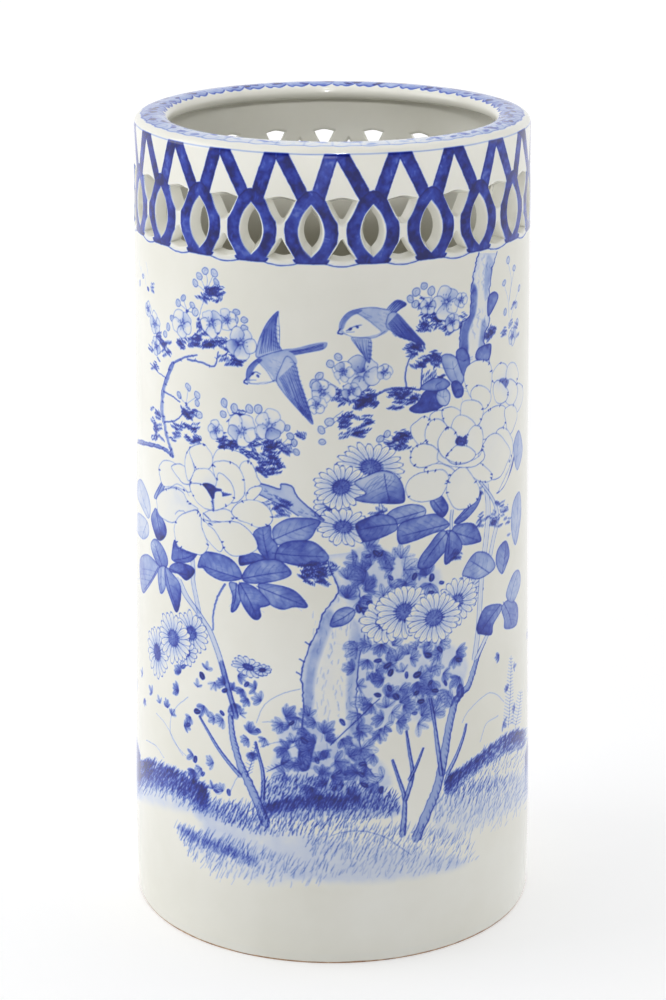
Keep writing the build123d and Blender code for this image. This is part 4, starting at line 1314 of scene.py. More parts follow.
def leaf_group_left():
    S = leafshape
    S([(137, 495), (138, 482), (142, 480), (148, 495), (150, 509), (148, 518), (142, 507)], (149, 517), (139, 481), .16, .26, 3, .45)
    S([(137, 524), (139, 513), (147, 522), (149, 534), (143, 539), (137, 532)], (147, 522), (142, 538), .16, .26, 2, .45)
    S([(152, 520), (153, 511), (157, 509), (165, 524), (166, 534), (161, 540), (156, 537)], (156, 510), (162, 539), .45, .8)
    S([(151, 545), (155, 539), (161, 545), (167, 557), (167, 566), (160, 567), (154, 558)], (162, 566), (154, 541), .5, .32)
    S([(140, 558), (147, 554), (157, 564), (158, 569), (147, 589), (143, 592), (140, 577)], (158, 567), (143, 591), .30, .48)
    S([(158, 570), (165, 568), (165, 587), (160, 593)], (161, 569), (161, 592), .25, .42, 2)
    S([(172, 553), (174, 540), (179, 548), (193, 553), (197, 554), (190, 561), (178, 562), (172, 560)], (174, 560), (196, 554), .6, .7)
    S([(170, 566), (178, 562), (191, 566), (194, 573), (186, 580), (178, 574), (170, 571)], (168, 568), (192, 576), .42, .8)
    S([(165, 568), (172, 574), (180, 587), (179, 606), (176, 612), (170, 598), (165, 583)], (165, 569), (177, 611), .40, .82)
    S([(154, 497), (160, 484), (165, 476), (164, 488), (158, 498)], (156, 498), (165, 477), .3, .5, 2)
    S([(272, 532), (277, 524), (292, 518), (319, 520), (315, 530), (309, 539), (294, 543), (277, 545)], (270, 541), (318, 522), .34, .50, 5)
    S([(254, 532), (269, 525), (271, 537), (277, 545), (277, 558), (267, 560), (256, 545)], (268, 558), (262, 528), .62, .50, 4)
    S([(275, 558), (281, 545), (298, 541), (315, 543), (328, 557), (319, 564), (302, 566), (288, 564)], (272, 553), (327, 557), .66, .60, 5)
    S([(239, 564), (241, 555), (256, 553), (267, 560), (256, 562), (246, 565)], (264, 559), (240, 563), .6, .75, 3)
    S([(197, 566), (203, 553), (214, 553), (229, 558), (239, 568), (240, 579), (222, 581), (208, 574), (203, 568)], (239, 578), (198, 564), .5, .58, 6)
    S([(242, 577), (248, 566), (260, 561), (277, 560), (291, 570), (286, 577), (267, 583), (248, 583)], (240, 579), (290, 571), .48, .60, 6)
    S([(229, 583), (237, 585), (241, 596), (237, 608), (231, 612), (232, 596)], (236, 583), (232, 611), .34, .62, 3)
    S([(258, 585), (277, 585), (294, 591), (307, 604), (305, 608), (294, 607), (281, 609), (267, 602)], (256, 586), (306, 606), .46, .62, 5)
    S([(239, 583), (254, 587), (269, 602), (265, 606), (260, 608), (261, 616), (256, 620), (250, 616), (241, 602)], (239, 582), (257, 618), .42, .74, 5)
    needles(298, 563, 322, 584, 12, .98, 1.15); needles(317, 562, 337, 588, 12, .85); needles(264, 499, 292, 521, 14, .8)


def stems_left():
    q = [(178, 579), (186, 596), (196, 610), (204, 622), (209, 630), (215, 645), (220, 660), (228, 690), (236, 716)]
    line(q, 3.8, .16, taper=0.0); brush(front(bez(q, 6) + [2.5, 0]), .55, .75); brush(front(bez(q, 6) - [2.3, 0]), .5, .7)
    q = [(192, 556), (193, 570), (193, 582), (196, 598), (199, 613)]
    line(q, 2.4, .16); brush(front(bez(q, 6) + [1.8, 0]), .5, .7); brush(front(bez(q, 6) - [1.8, 0]), .5, .65)
    twig([(225, 584), (220, 592), (216, 601), (213, 615), (213, 630)], 1.4, knots=False)


def broken_branch():
    wash(front(ring([(258, 483), (280, 489), (281, 484), (291, 486), (300, 500), (312, 510), (324, 520), (318, 522), (298, 515), (284, 507), (270, 499), (258, 494)], 4)), .22, rim=.12)
    line([(258, 483), (270, 486), (280, 489), (281, 484), (291, 486), (295, 493), (300, 500), (312, 510), (324, 520)], .9, .75)
    line([(258, 494), (270, 500), (284, 507), (298, 516)], .8, .7)
    for k in range(26):
        x = rng.uniform(262, 318); y = 489 + (x - 262) * .48 + rng.uniform(-2, 7)
        line([(x, y), (x + rng.uniform(2, 5), y + rng.uniform(1, 3))], .5, rng.uniform(.3, .6))


def old_trunk_middle():
    old_trunk([(325, 555), (332, 574), (338, 590), (331, 603), (322, 615), (318, 628), (311, 642), (304, 661), (301, 675), (302, 690), (303, 707), (302, 730), (301, 748), (296, 766)],
              [(352, 552), (356, 575), (360, 600), (364, 622), (364, 640), (359, 658), (357, 682), (356, 702), (358, 724), (360, 745), (366, 765), (376, 778)], .10, .75)
    wash(front(ring([(322, 618), (330, 610), (334, 620), (322, 650), (314, 680), (312, 712), (306, 720), (304, 690), (308, 660), (315, 640)], 4)), .26, soft=3.0)
    wash(front(ring([(352, 620), (360, 630), (356, 660), (352, 700), (353, 730), (347, 720), (347, 680), (349, 650)], 4)), .20, soft=3.0)
    wash(front(ring([(300, 744), (314, 742), (312, 756), (308, 770), (298, 768)], 4)), .8, soft=1.0)
    for x, y in ((310, 645), (304, 662), (301, 675)):
        line([(x, y), (x - 5, y - 3)], .9, .8)
    for _ in range(60):
        x, y = rng.uniform(312, 352), rng.uniform(610, 760)
        line([(x, y), (x + rng.normal(0, 1), y + rng.uniform(3, 7))], .5, rng.uniform(.12, .34))


def mums():
    mum(371, 467, 31, .72, 21, -12, .30); mum(331, 505, 17, .9, 14, 10, .3); mum(343, 527, 24, .74, 18, -8, .32); mum(341, 487, 25, .84, 20, 15, .32)


def mums_right():
    mum(384, 622, 22, 1.0, 15, 30, .3); mum(468, 590, 20, .9, 15, 10); mum(456, 602, 27, .82, 19, 20, .3); mum(404, 612, 27, .95, 20, 0, .32); mum(434, 618, 29, .82, 21, 0, .32)


def mums_left():
    mum(157, 652, 22, 1.15, 17, 0, .3); mum(191, 633, 21, 1.0, 17, 10, .3); mum(186, 652, 15, .9, 13, 20, .3); mum(173, 638, 25, .98, 19, 0, .32)
    mum(248, 667, 17, .55, 14, -10, .28); mum(262, 670, 9, .6, 10, 10, .3)


def leaves_centre_right():
    S = leafshape
    for q, w in (([(486, 484), (488, 510), (486, 538), (482, 570), (480, 598), (478, 630), (474, 660)], 3.0), ([(480, 482), (490, 495), (496, 508), (497, 522), (493, 540), (490, 556)], 2.2), ([(487, 635), (482, 646), (476, 659)], 2.2), ([(452, 510), (451, 520), (451, 532)], 1.8)):
        reserve(front(np.vstack([bez(q, 6) + [w * .7, 0], (bez(q, 6) - [w * .7, 0])[::-1]])))
        line(q, w, .12); brush(front(bez(q, 6) + [w * .7, 0]), .5, .7); brush(front(bez(q, 6) - [w * .7, 0]), .5, .7)
    S([(382, 520), (393, 510), (408, 505), (420, 505), (425, 510), (422, 517), (410, 520), (393, 525), (385, 524)], (424, 511), (384, 522), .34, .5, 5)
    S([(355, 526), (365, 519), (379, 514), (393, 518), (397, 528), (389, 534), (376, 539), (364, 542), (361, 539)], (396, 524), (357, 530), .5, .72, 5)
    S([(397, 530), (403, 522), (418, 517), (435, 515), (445, 520), (449, 525), (443, 530), (429, 534), (414, 541), (399, 543)], (448, 524), (398, 537), .46, .58, 6)
    S([(354, 483), (364, 477), (380, 471), (393, 473), (401, 482), (404, 495), (402, 503), (382, 504), (364, 502), (355, 499), (366, 493)], (384, 474), (390, 504), .20, .72, 4)
    for k in range(7):
        line([(362 + k * 4, 490 + rng.normal(0, 1)), (368 + k * 4.4, 482 - k * .4), (378 + k * 2.6, 476)], .4, .4)
    S([(430, 501), (439, 495), (445, 501), (448, 509), (443, 517), (435, 512)], (432, 499), (445, 515), .45, .85, 3)
    S([(454, 522), (464, 511), (475, 497), (480, 495), (477, 507), (467, 518), (458, 524)], (454, 523), (480, 495), .5, .44, 5)
    S([(452, 530), (456, 525), (473, 524), (481, 539), (475, 543), (464, 545), (454, 541), (446, 532)], (449, 531), (480, 541), .48, .62, 4)
    S([(445, 532), (448, 545), (439, 558), (429, 568), (419, 568), (420, 558), (429, 545), (437, 534)], (446, 533), (421, 567), .42, .64, 5)
    S([(450, 532), (460, 539), (462, 549), (454, 558), (445, 564), (444, 553)], (449, 533), (447, 562), .5, .62, 3)
    S([(462, 574), (469, 560), (477, 552), (488, 554), (495, 566), (488, 574), (477, 579), (467, 577)], (489, 573), (469, 560), .34, .40, 4)
    S([(502, 574), (496, 564), (498, 549), (506, 541), (509, 553), (506, 566)], (502, 573), (506, 542), .46, .5, 3)
    S([(477, 633), (477, 625), (485, 608), (500, 604), (501, 610), (494, 625), (491, 635), (481, 634)], (500, 605), (480, 633), .42, .70, 4)
    S([(502, 608), (509, 600), (517, 606), (516, 625), (505, 629), (503, 619)], (503, 602), (512, 627), .38, .52, 3)
    S([(513, 574), (519, 570), (520, 585), (513, 602), (506, 595)], (510, 600), (518, 571), .30, .34, 3, .5)
    S([(496, 492), (504, 488), (511, 469), (515, 453), (507, 480), (500, 492)], (498, 492), (514, 455), .40, .44, 3, .6)
    S([(512, 505), (519, 492), (521, 515), (516, 545), (511, 530)], (514, 544), (518, 494), .24, .3, 3, .45)
    S([(513, 448), (519, 430), (522, 450), (517, 470)], (515, 468), (519, 432), .24, .3, 2, .45)
    needles(470, 513, 499, 528, 10, .8); needles(450, 546, 467, 560, 5, .8); needles(492, 500, 512, 540, 12, .6); needles(366, 508, 384, 516, 4, .7); needles(476, 488, 484, 505, 3, .8)
    S([(330, 625), (336, 612), (347, 607), (355, 612), (350, 621), (340, 626)], (354, 610), (331, 624), .4, .6, 3)


def bushes():
    for q, t in (([(352, 640), (376, 634), (404, 644), (436, 640), (462, 650), (468, 672), (450, 706), (430, 724), (398, 722), (370, 742), (350, 758), (346, 730), (360, 700), (352, 668)], .13),
                 ([(350, 552), (376, 546), (404, 558), (440, 570), (434, 592), (406, 588), (384, 596), (360, 610), (346, 594)], .16),
                 ([(282, 712), (312, 714), (324, 732), (350, 744), (380, 760), (392, 784), (360, 800), (322, 790), (298, 780), (270, 772), (276, 746)], .14)):
        wash(front(ring(q, 3)), t, soft=6.0)
    bush(scatter([(350, 638), (376, 632), (404, 642), (436, 638), (464, 648), (470, 672), (452, 706), (432, 724), (398, 724), (370, 744), (350, 760), (344, 730), (360, 700), (350, 668)], 13), (.08, .26), (11, 18))
    bush(scatter([(350, 550), (376, 544), (404, 556), (440, 570), (436, 592), (406, 590), (384, 598), (360, 612), (344, 596)], 12.5), (.10, .30), (12, 19))
    bush(scatter([(282, 710), (312, 710), (326, 730), (350, 742), (382, 758), (394, 784), (362, 802), (322, 792), (298, 782), (268, 774), (274, 744)], 13), (.12, .34), (11, 17))
    bush([(206, 668), (224, 684), (243, 690), (198, 690), (180, 672), (212, 716), (190, 716), (252, 731), (193, 755), (202, 769), (232, 704), (262, 700), (222, 791), (176, 690), (254, 752), (168, 706), (240, 716), (150, 690), (160, 676), (144, 672),
          (214, 680), (232, 690), (250, 700), (204, 706), (222, 722), (184, 728), (210, 762), (192, 768), (214, 790), (246, 738), (266, 738), (186, 664), (236, 676), (256, 690), (174, 716), (228, 712), (144, 700), (158, 704)], (.12, .36), (9, 14))
    bush([(499, 655), (512, 668), (508, 690), (516, 708), (504, 722)], (.10, .25), (8, 12))
    for x, y in ((368, 556), (376, 554), (380, 556), (390, 579), (414, 577), (431, 578), (442, 582), (411, 592), (431, 591), (357, 608), (364, 611), (369, 603), (379, 608),
                 (377, 662), (387, 666), (390, 673), (407, 674), (415, 674), (430, 682), (446, 681), (391, 689), (378, 695), (396, 697), (416, 693), (421, 702), (415, 712), (435, 690), (427, 655), (440, 650), (459, 661), (343, 723), (363, 764), (362, 775), (365, 785), (334, 787), (380, 789),
                 (184, 668), (202, 676), (226, 690), (246, 684), (196, 712), (222, 712), (190, 724), (258, 730), (196, 758), (204, 774), (228, 792), (214, 790), (292, 722), (304, 740), (318, 760), (338, 772)):
        berry(x + rng.normal(0, .8), y + rng.normal(0, .8), rng.uniform(3.4, 5.2), rng.uniform(.7, .95))
    # comb-like fronds
    for x0, y0, x1, y1 in ((246, 778, 256, 742), (266, 772, 290, 760), (508, 728, 511, 656), (515, 728, 521, 690)):
        line([(x0, y0), ((x0 + x1) / 2 + 1, (y0 + y1) / 2), (x1, y1)], .6, .6)
        m = int(math.hypot(x1 - x0, y1 - y0) / 3.2)
        for k in range(1, m):
            t = k / m; x, y = x0 + (x1 - x0) * t, y0 + (y1 - y0) * t
            L = 7 * (1 - t * .7)
            for s in (-1, 1):
                line([(x, y), (x + s * L * .8, y - L * .45)], .5, .5)


def trees_low():
    def tree(path, w0, w1, a=.78):
        q = bez(path, 7); n = len(q); W = np.linspace(w0, w1, n) * (1 + rng.normal(0, .08, n))
        reserve(front(np.vstack([q + [.5, 0] * 1, (q - [.5, 0])[::-1]])))
        brush(front(q), W, .34)
        t = np.gradient(q, axis=0); t /= np.linalg.norm(t, axis=1, keepdims=True); nr = np.stack([-t[:, 1], t[:, 0]], -1)
        brush(front(q + nr * (W[:, None] * .62)), .95, a); brush(front(q - nr * (W[:, None] * .62)), .7, a * .85)
        for k in range(1, n - 1, 2):
            brush(front([q[k] + nr[k] * W[k] * .5, q[k] + t[k] * 3 + nr[k] * W[k] * .1]), [.9, .3], a * .6)
    tree([(266, 824), (256, 800), (247, 780), (240, 765), (235, 748), (232, 735), (230, 716)], 6.5, 3.6)
    tree([(262, 800), (263, 786), (262, 770), (258, 754), (255, 742)], 3.0, 1.3)
    tree([(240, 776), (228, 762), (217, 747), (207, 730), (199, 716)], 2.6, 1.0)
    tree([(402, 835), (404, 815), (404, 797), (398, 778), (392, 760)], 4.2, 1.5)
    tree([(405, 800), (412, 775), (409, 752), (406, 731)], 3.2, 1.2)
    tree([(409, 780), (416, 766), (423, 748)], 2.2, 1.0)
    tree([(416, 838), (427, 812), (436, 790), (441, 770), (445, 748), (448, 730), (452, 712), (456, 698)], 6.8, 4.4)
    tree([(441, 775), (437, 745), (434, 722), (430, 699)], 3.2, 1.6)
    tree([(447, 774), (456, 756), (463, 737), (466, 724)], 2.4, 1.1)
    tree([(456, 700), (462, 692), (468, 686), (474, 668), (478, 655), (484, 642)], 4.6, 2.2)
    berry(460, 691, 8, .6)
    line([(379, 699), (368, 709), (358, 719), (344, 732), (330, 745)], .8, .7)
    tree([(236, 718), (229, 692), (221, 662)], 3.4, 3.0, .7)


def ground():
    bank([(136, 764), (146, 762), (158, 765), (176, 772), (194, 781), (206, 790)], 22, .62)
    hatch([(136, 776), (160, 778), (190, 790), (230, 806), (262, 822), (250, 832), (200, 816), (160, 800), (136, 798)], 4.2, (5, 9), 68, .6, (.3, .7))
    hatch([(200, 800), (262, 808), (300, 800), (330, 798), (396, 800), (400, 815), (340, 830), (300, 836), (262, 838), (220, 824)], 3.6, (5, 10), 66, .62, (.35, .8))
    wash(front(ring([(262, 786), (300, 778), (340, 786), (372, 792), (398, 800), (396, 816), (340, 816), (290, 818), (262, 812)], 4)), .22, soft=6.0)
    hatch([(258, 782), (300, 776), (340, 784), (396, 792), (398, 812), (330, 812), (262, 812)], 3.6, (4, 8), 64, .65, (.5, .9))
    bank([(264, 806), (290, 800), (318, 798), (344, 800)], 10, .55)
    bank([(178, 826), (200, 838), (226, 848), (256, 860)], 9, .30)
    hatch([(172, 826), (210, 836), (262, 852), (310, 866), (350, 872), (330, 886), (270, 892), (220, 884), (190, 862)], 3.7, (6, 11), 66, .6, (.3, .7), (838, 896))
    hatch([(300, 838), (360, 828), (420, 828), (470, 842), (476, 860), (440, 874), (380, 880), (320, 872)], 3.8, (6, 10), 64, .58, (.25, .6), (836, 892))
    bank([(444, 780), (456, 772), (472, 760), (488, 748), (503, 738), (514, 733), (524, 731)], 16, .64)
    hatch([(446, 784), (478, 768), (524, 742), (526, 772), (500, 790), (460, 800)], 4.0, (5, 9), 70, .62, (.4, .8))
    hatch([(436, 800), (470, 784), (526, 776), (526, 812), (500, 830), (456, 842), (430, 826)], 3.8, (6, 11), 70, .6, (.3, .65), (790, 852))
    for q, t in (([(200, 802), (262, 824), (340, 840), (430, 852), (470, 862), (420, 878), (330, 884), (262, 862), (206, 838)], .13), ([(136, 772), (176, 782), (206, 798), (236, 816), (190, 814), (136, 798)], .12), ([(440, 796), (526, 774), (526, 802), (470, 832), (436, 838)], .10), ([(180, 830), (262, 858), (310, 876), (262, 886), (206, 862)], .09)):
        wash(front(ring(q, 4)), t, soft=9.0)
    # thin arcs of grass
    for q in ([(188, 697), (178, 705), (172, 714), (170, 724), (171, 735), (177, 746), (186, 756)], [(156, 713), (164, 722), (171, 734), (177, 746), (183, 756)], [(256, 723), (262, 708), (270, 700), (284, 693), (300, 689)], [(262, 722), (271, 722), (279, 724), (283, 730)],
              [(260, 747), (278, 742), (298, 741)], [(279, 756), (288, 749), (297, 745)], [(462, 723), (466, 714), (472, 707), (480, 699), (489, 693), (497, 695), (504, 702)], [(330, 836), (344, 832), (358, 831), (372, 833), (386, 838), (398, 846), (411, 855)],
              [(230, 792), (238, 776), (250, 770)], [(320, 826), (338, 812), (356, 808)], [(146, 740), (156, 746), (164, 758)], [(480, 742), (486, 724), (498, 716)], [(388, 836), (392, 820), (386, 806)]):
        line(q, .48, .5)


def decorate():
    global SHIFT, MIRROR, rng
    for SHIFT, MIRROR, seed in ((math.pi, -1.0, 9), (0.0, 1.0, 4)):
        rng = np.random.default_rng(seed)
        plum_left()
        plum_middle()
        trunk_right()
        bird_one()
        if seed == 4:
            bird_two()
        old_trunk_middle()
        bushes()
        ground()
        trees_low()
        mums_left()
        mums_right()
        mums()
        stems_left()
        leaves_centre_right()
        leaves_upper_right()
        broken_branch()
        leaf_group_left()
        full_flower_left()
        full_flower_right()
    for SHIFT in (math.pi / 2, -math.pi / 2):
        MIRROR = 1.0
        wash(front(ring([(280, 816), (306, 811), (333, 809), (360, 811), (386, 816), (388, 856), (333, 870), (278, 856)], 4)), .13, soft=9.0)
        hatch([(280, 818), (333, 812), (386, 818), (388, 858), (333, 872), (278, 858)], 3.8, (6, 10), 66, .6, (.3, .7), (820, 876))
        bank([(281, 816), (306, 811), (333, 809), (360, 811), (385, 816)], 22, .62)
        bush([(300, 700), (318, 716), (340, 704), (356, 724), (330, 738), (310, 752), (352, 752), (336, 770)], (.14, .4), (10, 15))
        bush([(322, 420), (340, 408), (334, 436)], (.14, .3), (9, 13))
        needles(316, 396, 350, 420, 10); blossom(330, 404, 12); bud(318, 392); bud(346, 390)
    SHIFT, MIRROR = 0.0, 1.0


# ----------------------------------------------------- the border of loops
def strip_poly(x0, z0, x1, z1, w0, w1):
    """A tapering band from (x0, z0) to (x1, z1), in mm about some angle."""
    d = np.array([x1 - x0, z1 - z0]); d = d / np.hypot(*d); nrm = np.array([-d[1], d[0]])
    a = np.array([x0, z0]); b = np.array([x1, z1])
    return np.array([a + nrm * w0, b + nrm * w1, b - nrm * w1, a - nrm * w0])


def edge_of(P, n=3, wob=0.12):
    """Points along a closed outline with a slight unsteadiness of the hand."""
    P = np.vstack([P, P[:1]])
    out = []
    for a, b in zip(P[:-1], P[1:]):
        t = np.linspace(0, 1, n, endpoint=False)[:, None]
        out.append(a + (b - a) * t)
    out = np.vstack(out + [P[-1:]])
    return out + rng.normal(0, wob, out.shape)


def streaks(P, place, n, a):
    """Lighter brush streaks inside a filled band."""
    lo, hi = P.min(0), P.max(0)
    for _ in range(n):
        c = lo + (hi - lo) * rng.random(2)
        ang = rng.normal(math.pi / 2, 0.5); L = rng.uniform(1.5, 4.0)
        q = np.array([c - L * np.array([math.cos(ang), math.sin(ang)]) / 2, c + L * np.array([math.cos(ang), math.sin(ang)]) / 2])
        brush(place(q), rng.uniform(0.5, 1.1), a * rng.uniform(0.4, 1.0), how="wipe")


def border():
    global rng
    rng = np.random.default_rng(515)
    R0 = 146.0
    for a, w in GAPS:
        a = a if a <= 180 else a - 360
        half = math.radians(w) * R0 / 2                  # to the neighbouring loops' points
        sh = -3.1 + rng.normal(0, 0.35)
        pl = lambda q: to_canvas(math.radians(a) + np.atleast_2d(q)[:, 0] / R0, np.atleast_2d(q)[:, 1])
        for s, lower in ((-1, -half + 1.4), (1, half - 3.4)):
            q = np.array([(sh + s * 8.2, 604.3), (sh + s * 0.2, 604.3), (sh + s * 0.1, 600.6), (s * 13.0, 571.2), (s * 16.0, 570.0), (s * (half - 1.0), 575.5), (lower, 579.6)])
            wash(pl(q), 0.86, rim=0.14, rim_w=0.8, soft=0.4)
            streaks(q, pl, 7, 0.22)
            for u, v in ((q[0], q[-1]), (q[2], q[3])):
                e = np.vstack([u + (v - u) * t for t in np.linspace(0, 1, 12)[:, None]])
                brush(pl(e + rng.normal(0, 0.09, e.shape)), 0.66, 1.15)
        wash(pl(np.array([(sh - 8.2, 604.3), (sh + 8.2, 604.3), (sh + 3.6, 601.0), (sh, 600.6), (sh - 3.6, 601.0)])), 0.40, rim=0.1, soft=0.4)
        brush(pl(np.array([(sh - 8.2, 604.2), (sh, 604.3), (sh + 8.2, 604.2)])), 0.6, 0.85)
    for a in LOOP_AT:
        pl = lambda q: to_canvas(math.radians(a) + np.atleast_2d(q)[:, 0] / R0, np.atleast_2d(q)[:, 1])
        outer = ring([(0.4, 578.6), (3.4, 577.9), (6.4, 575.4), (9.8, 571.6), (14.0, 566.0), (17.0, 559.5), (18.3, 552.0), (17.8, 545.0), (15.8, 538.0),
                      (13.0, 532.0), (10.4, 528.7), (4.0, 528.4), (0, 528.3), (-4.0, 528.4), (-10.4, 528.7), (-13.0, 532.0), (-15.8, 538.0), (-17.8, 545.0), (-18.3, 552.0),
                      (-17.0, 559.5), (-14.0, 566.0), (-9.8, 571.6), (-6.2, 575.4), (-2.8, 577.9)], 3)
        reserve(pl(outer), 0.45)
        wash(pl(outer), 0.83, rim=0.17, rim_w=0.9, soft=0.4)
        streaks(outer, pl, 12, 0.22)
        brush(pl(edge_of(outer, 1, 0.08)), 0.66, 1.15)
    # white kept round every opening
    for a, P in openings():
        c = P.mean(0)
        g = P - c
        grow = P + g / np.maximum(np.linalg.norm(g, axis=1, keepdims=True), 1e-6) * 1.35
        pl = lambda q: to_canvas(math.radians(a) + q[:, 0] / R0, q[:, 1])
        reserve(pl(grow), 0.0, 0.5)
        brush(pl(edge_of(np.vstack([grow]), 1, 0.05)), 0.40, 0.12)
    # the thin line below, dipping under each lower opening, and a faint line just above it
    pts_t, pts_z = [], []
    for a, w in GAPS:
        half = math.radians(w) * R0 / 2
        x = np.linspace(-half + 9.5, half - 9.5, 9)
        z = 528.5 - 2.1 * (1 - (x / (half - 9.5)) ** 2)
        aa = a if a <= 180 else a - 360
        brush(to_canvas(math.radians(aa) + x / R0, z + rng.normal(0, 0.08, 9)), 0.75, 0.85)
        brush(to_canvas(math.radians(aa) + x / R0, z + 1.5 + rng.normal(0, 0.08, 9)), 0.4, 0.2)


def rim_border():
    """Soft leaf scroll painted round the top of the rim, on a canvas of its own:
    rows run over the crest from the outer edge to the mouth."""
    s_line = float(np.interp(4.9, RIM[:8, 1] - 598.0, RIM_S[:8])) + 1.2
    th = np.linspace(-math.pi, math.pi, 900)
    P = lambda t, s: np.stack([(t / (2 * math.pi) + 0.5) * NU, s / RES - 0.5], -1)
    wob = 0.25 * np.sin(th * 9) + 0.15 * np.sin(th * 23 + 1)
    brush(P(th, s_line + wob * 0.6), 0.55, 0.55)
    s_in, s_out = 13.2, 30.5
    r_mid = 132.0
    n = 44
    for k in range(n):
        t0 = (k + 0.5) / n * 2 * math.pi - math.pi
        L = 2 * math.pi * r_mid / n
        pale = 0.32 + 0.95 * min(max((abs(t0) - 0.45) / 0.9, 0.0), 1.0)      # thin and pale at the front, fuller round the back
        pl = lambda q: P(t0 + np.atleast_2d(q)[:, 0] / r_mid, np.atleast_2d(q)[:, 1])
        h = rng.uniform(0.85, 1.1)
        top = [(-L * .50, s_out - 3.0), (-L * .34, s_out - 0.4 * h), (-L * .12, s_out + 0.9 * h), (L * .1, s_out - 0.5), (L * .28, s_out + 0.7 * h), (L * .46, s_out - 1.6)]
        q = np.array([(-L * .52, s_in + 1.0), (-L * .2, s_in - 0.6), (L * .15, s_in + 0.3), (L * .52, s_in + 0.8)] + top[::-1])
        wash(pl(ring(q, 3)), 0.29 * pale, rim=0.12 * pale, rim_w=1.2, soft=1.0)
        brush(pl(bez(top, 4)), 0.9, 0.70)
        for m in range(3):
            x0 = rng.uniform(-L * .4, L * .4); y0 = rng.uniform(s_in + 2, s_out - 4)
            sgn = 1 if rng.random() < .5 else -1
            leaf = [(x0, y0), (x0 + sgn * 2.4, y0 + 2.4), (x0 + sgn * 5.6, y0 + 3.1), (x0 + sgn * 7.5, y0 + 1.4), (x0 + sgn * 4.6, y0 - 0.6), (x0 + sgn * 1.6, y0 - 1.1)]
            wash(pl(ring(leaf, 3)), rng.uniform(0.38, 0.72) * pale, rim=0.15 * pale, soft=0.8)
            brush(pl(bez([leaf[0], (x0 + sgn * 3.6, y0 + 1.2), leaf[3]], 4)), 0.5, 0.5 * pale, taper=0.7)
        brush(pl(bez([(-L * .5, s_in + 0.8), (-L * .2, s_in - 0.4), (L * .1, s_in + 0.6), (L * .5, s_in + 0.6)], 4)), 0.7, 0.42)
        brush(pl(bez([(-L * .3, s_in + 3), (-L * .1, s_in + 6.5), (L * .15, s_in + 5.0), (L * .05, s_in + 2.5)], 4)), 0.5, 0.4 * pale)


def soften(a, k=(0.10, 0.80, 0.10)):
    b = a * k[1] + np.roll(a, 1, 1) * k[0] + np.roll(a, -1, 1) * k[2]
    c = b.copy(); c[1:-1] = b[1:-1] * k[1] + b[:-2] * k[0] + b[2:] * k[2]
    return c


decorate()
border()
body_ink = ink
row0 = int(round(Z_RIM / RES))
NV = int(math.ceil(RIM_S[-1] / RES)) + 4
ink = np.zeros((NV, NU), np.float32)
MOTT = np.ascontiguousarray(np.vstack([MOTT[row0:], MOTT[:NV]])[:NV])
Z_ZERO = Z_RIM
border()                       # the tops of the zigzag run up onto the rim
ink[int(round(6.4 / RES)):] = 0.0
Z_ZERO = 0.0
rim_border()
rim_soft = soften(soften(ink))
ink_soft = soften(body_ink)


# ------------------------------------------------------------------- materials
def nodes_of(name):
    m = bpy.data.materials.new(name); m.use_nodes = True
    nt = m.node_tree; nt.nodes.clear()
    out = nt.nodes.new("ShaderNodeOutputMaterial"); p = nt.nodes.new("ShaderNodeBsdfPrincipled")
    nt.links.new(p.outputs[0], out.inputs[0])
    return m, nt, p


def lin(r, g, b):
    f = lambda c: (c / 255 / 12.92) if c / 255 <= 0.04045 else ((c / 255 + 0.055) / 1.055) ** 2.4
    return (f(r), f(g), f(b), 1.0)


def noise(nt, scale, detail, rough=0.5, coord=None):
    n = nt.nodes.new("ShaderNodeTexNoise")
    n.inputs["Scale"].default_value = scale; n.inputs["Detail"].default_value = detail
    n.inputs["Roughness"].default_value = rough
    nt.links.new(coord, n.inputs["Vector"])
    return n.outputs["Fac"]


def math_node(nt, op, a, b, clamp=False):
    n = nt.nodes.new("ShaderNodeMath"); n.operation = op; n.use_clamp = clamp
    for k, v in enumerate((a, b)):
        if isinstance(v, (int, float)):
            n.inputs[k].default_value = v
        elif v is not None:
            nt.links.new(v, n.inputs[k])
    return n.outputs[0]


def ramp(nt, fac, stops):
    n = nt.nodes.new("ShaderNodeValToRGB"); e = n.color_ramp.elements
    while len(e) > len(stops):
        e.remove(e[-1])
    while len(e) < len(stops):
        e.new(1.0)
    for el, (pos, col) in zip(e, stops):
        el.position = pos; el.color = col
    nt.links.new(fac, n.inputs[0])
    return n.outputs[0]


def mix(nt, fac, a, b):
    n = nt.nodes.new("ShaderNodeMix"); n.data_type = "RGBA"
    nt.links.new(fac, n.inputs[0])
    for k, v in ((6, a), (7, b)):
        if isinstance(v, tuple):
            n.inputs[k].default_value = v
        else:
            nt.links.new(v, n.inputs[k])
    return n.outputs[2]


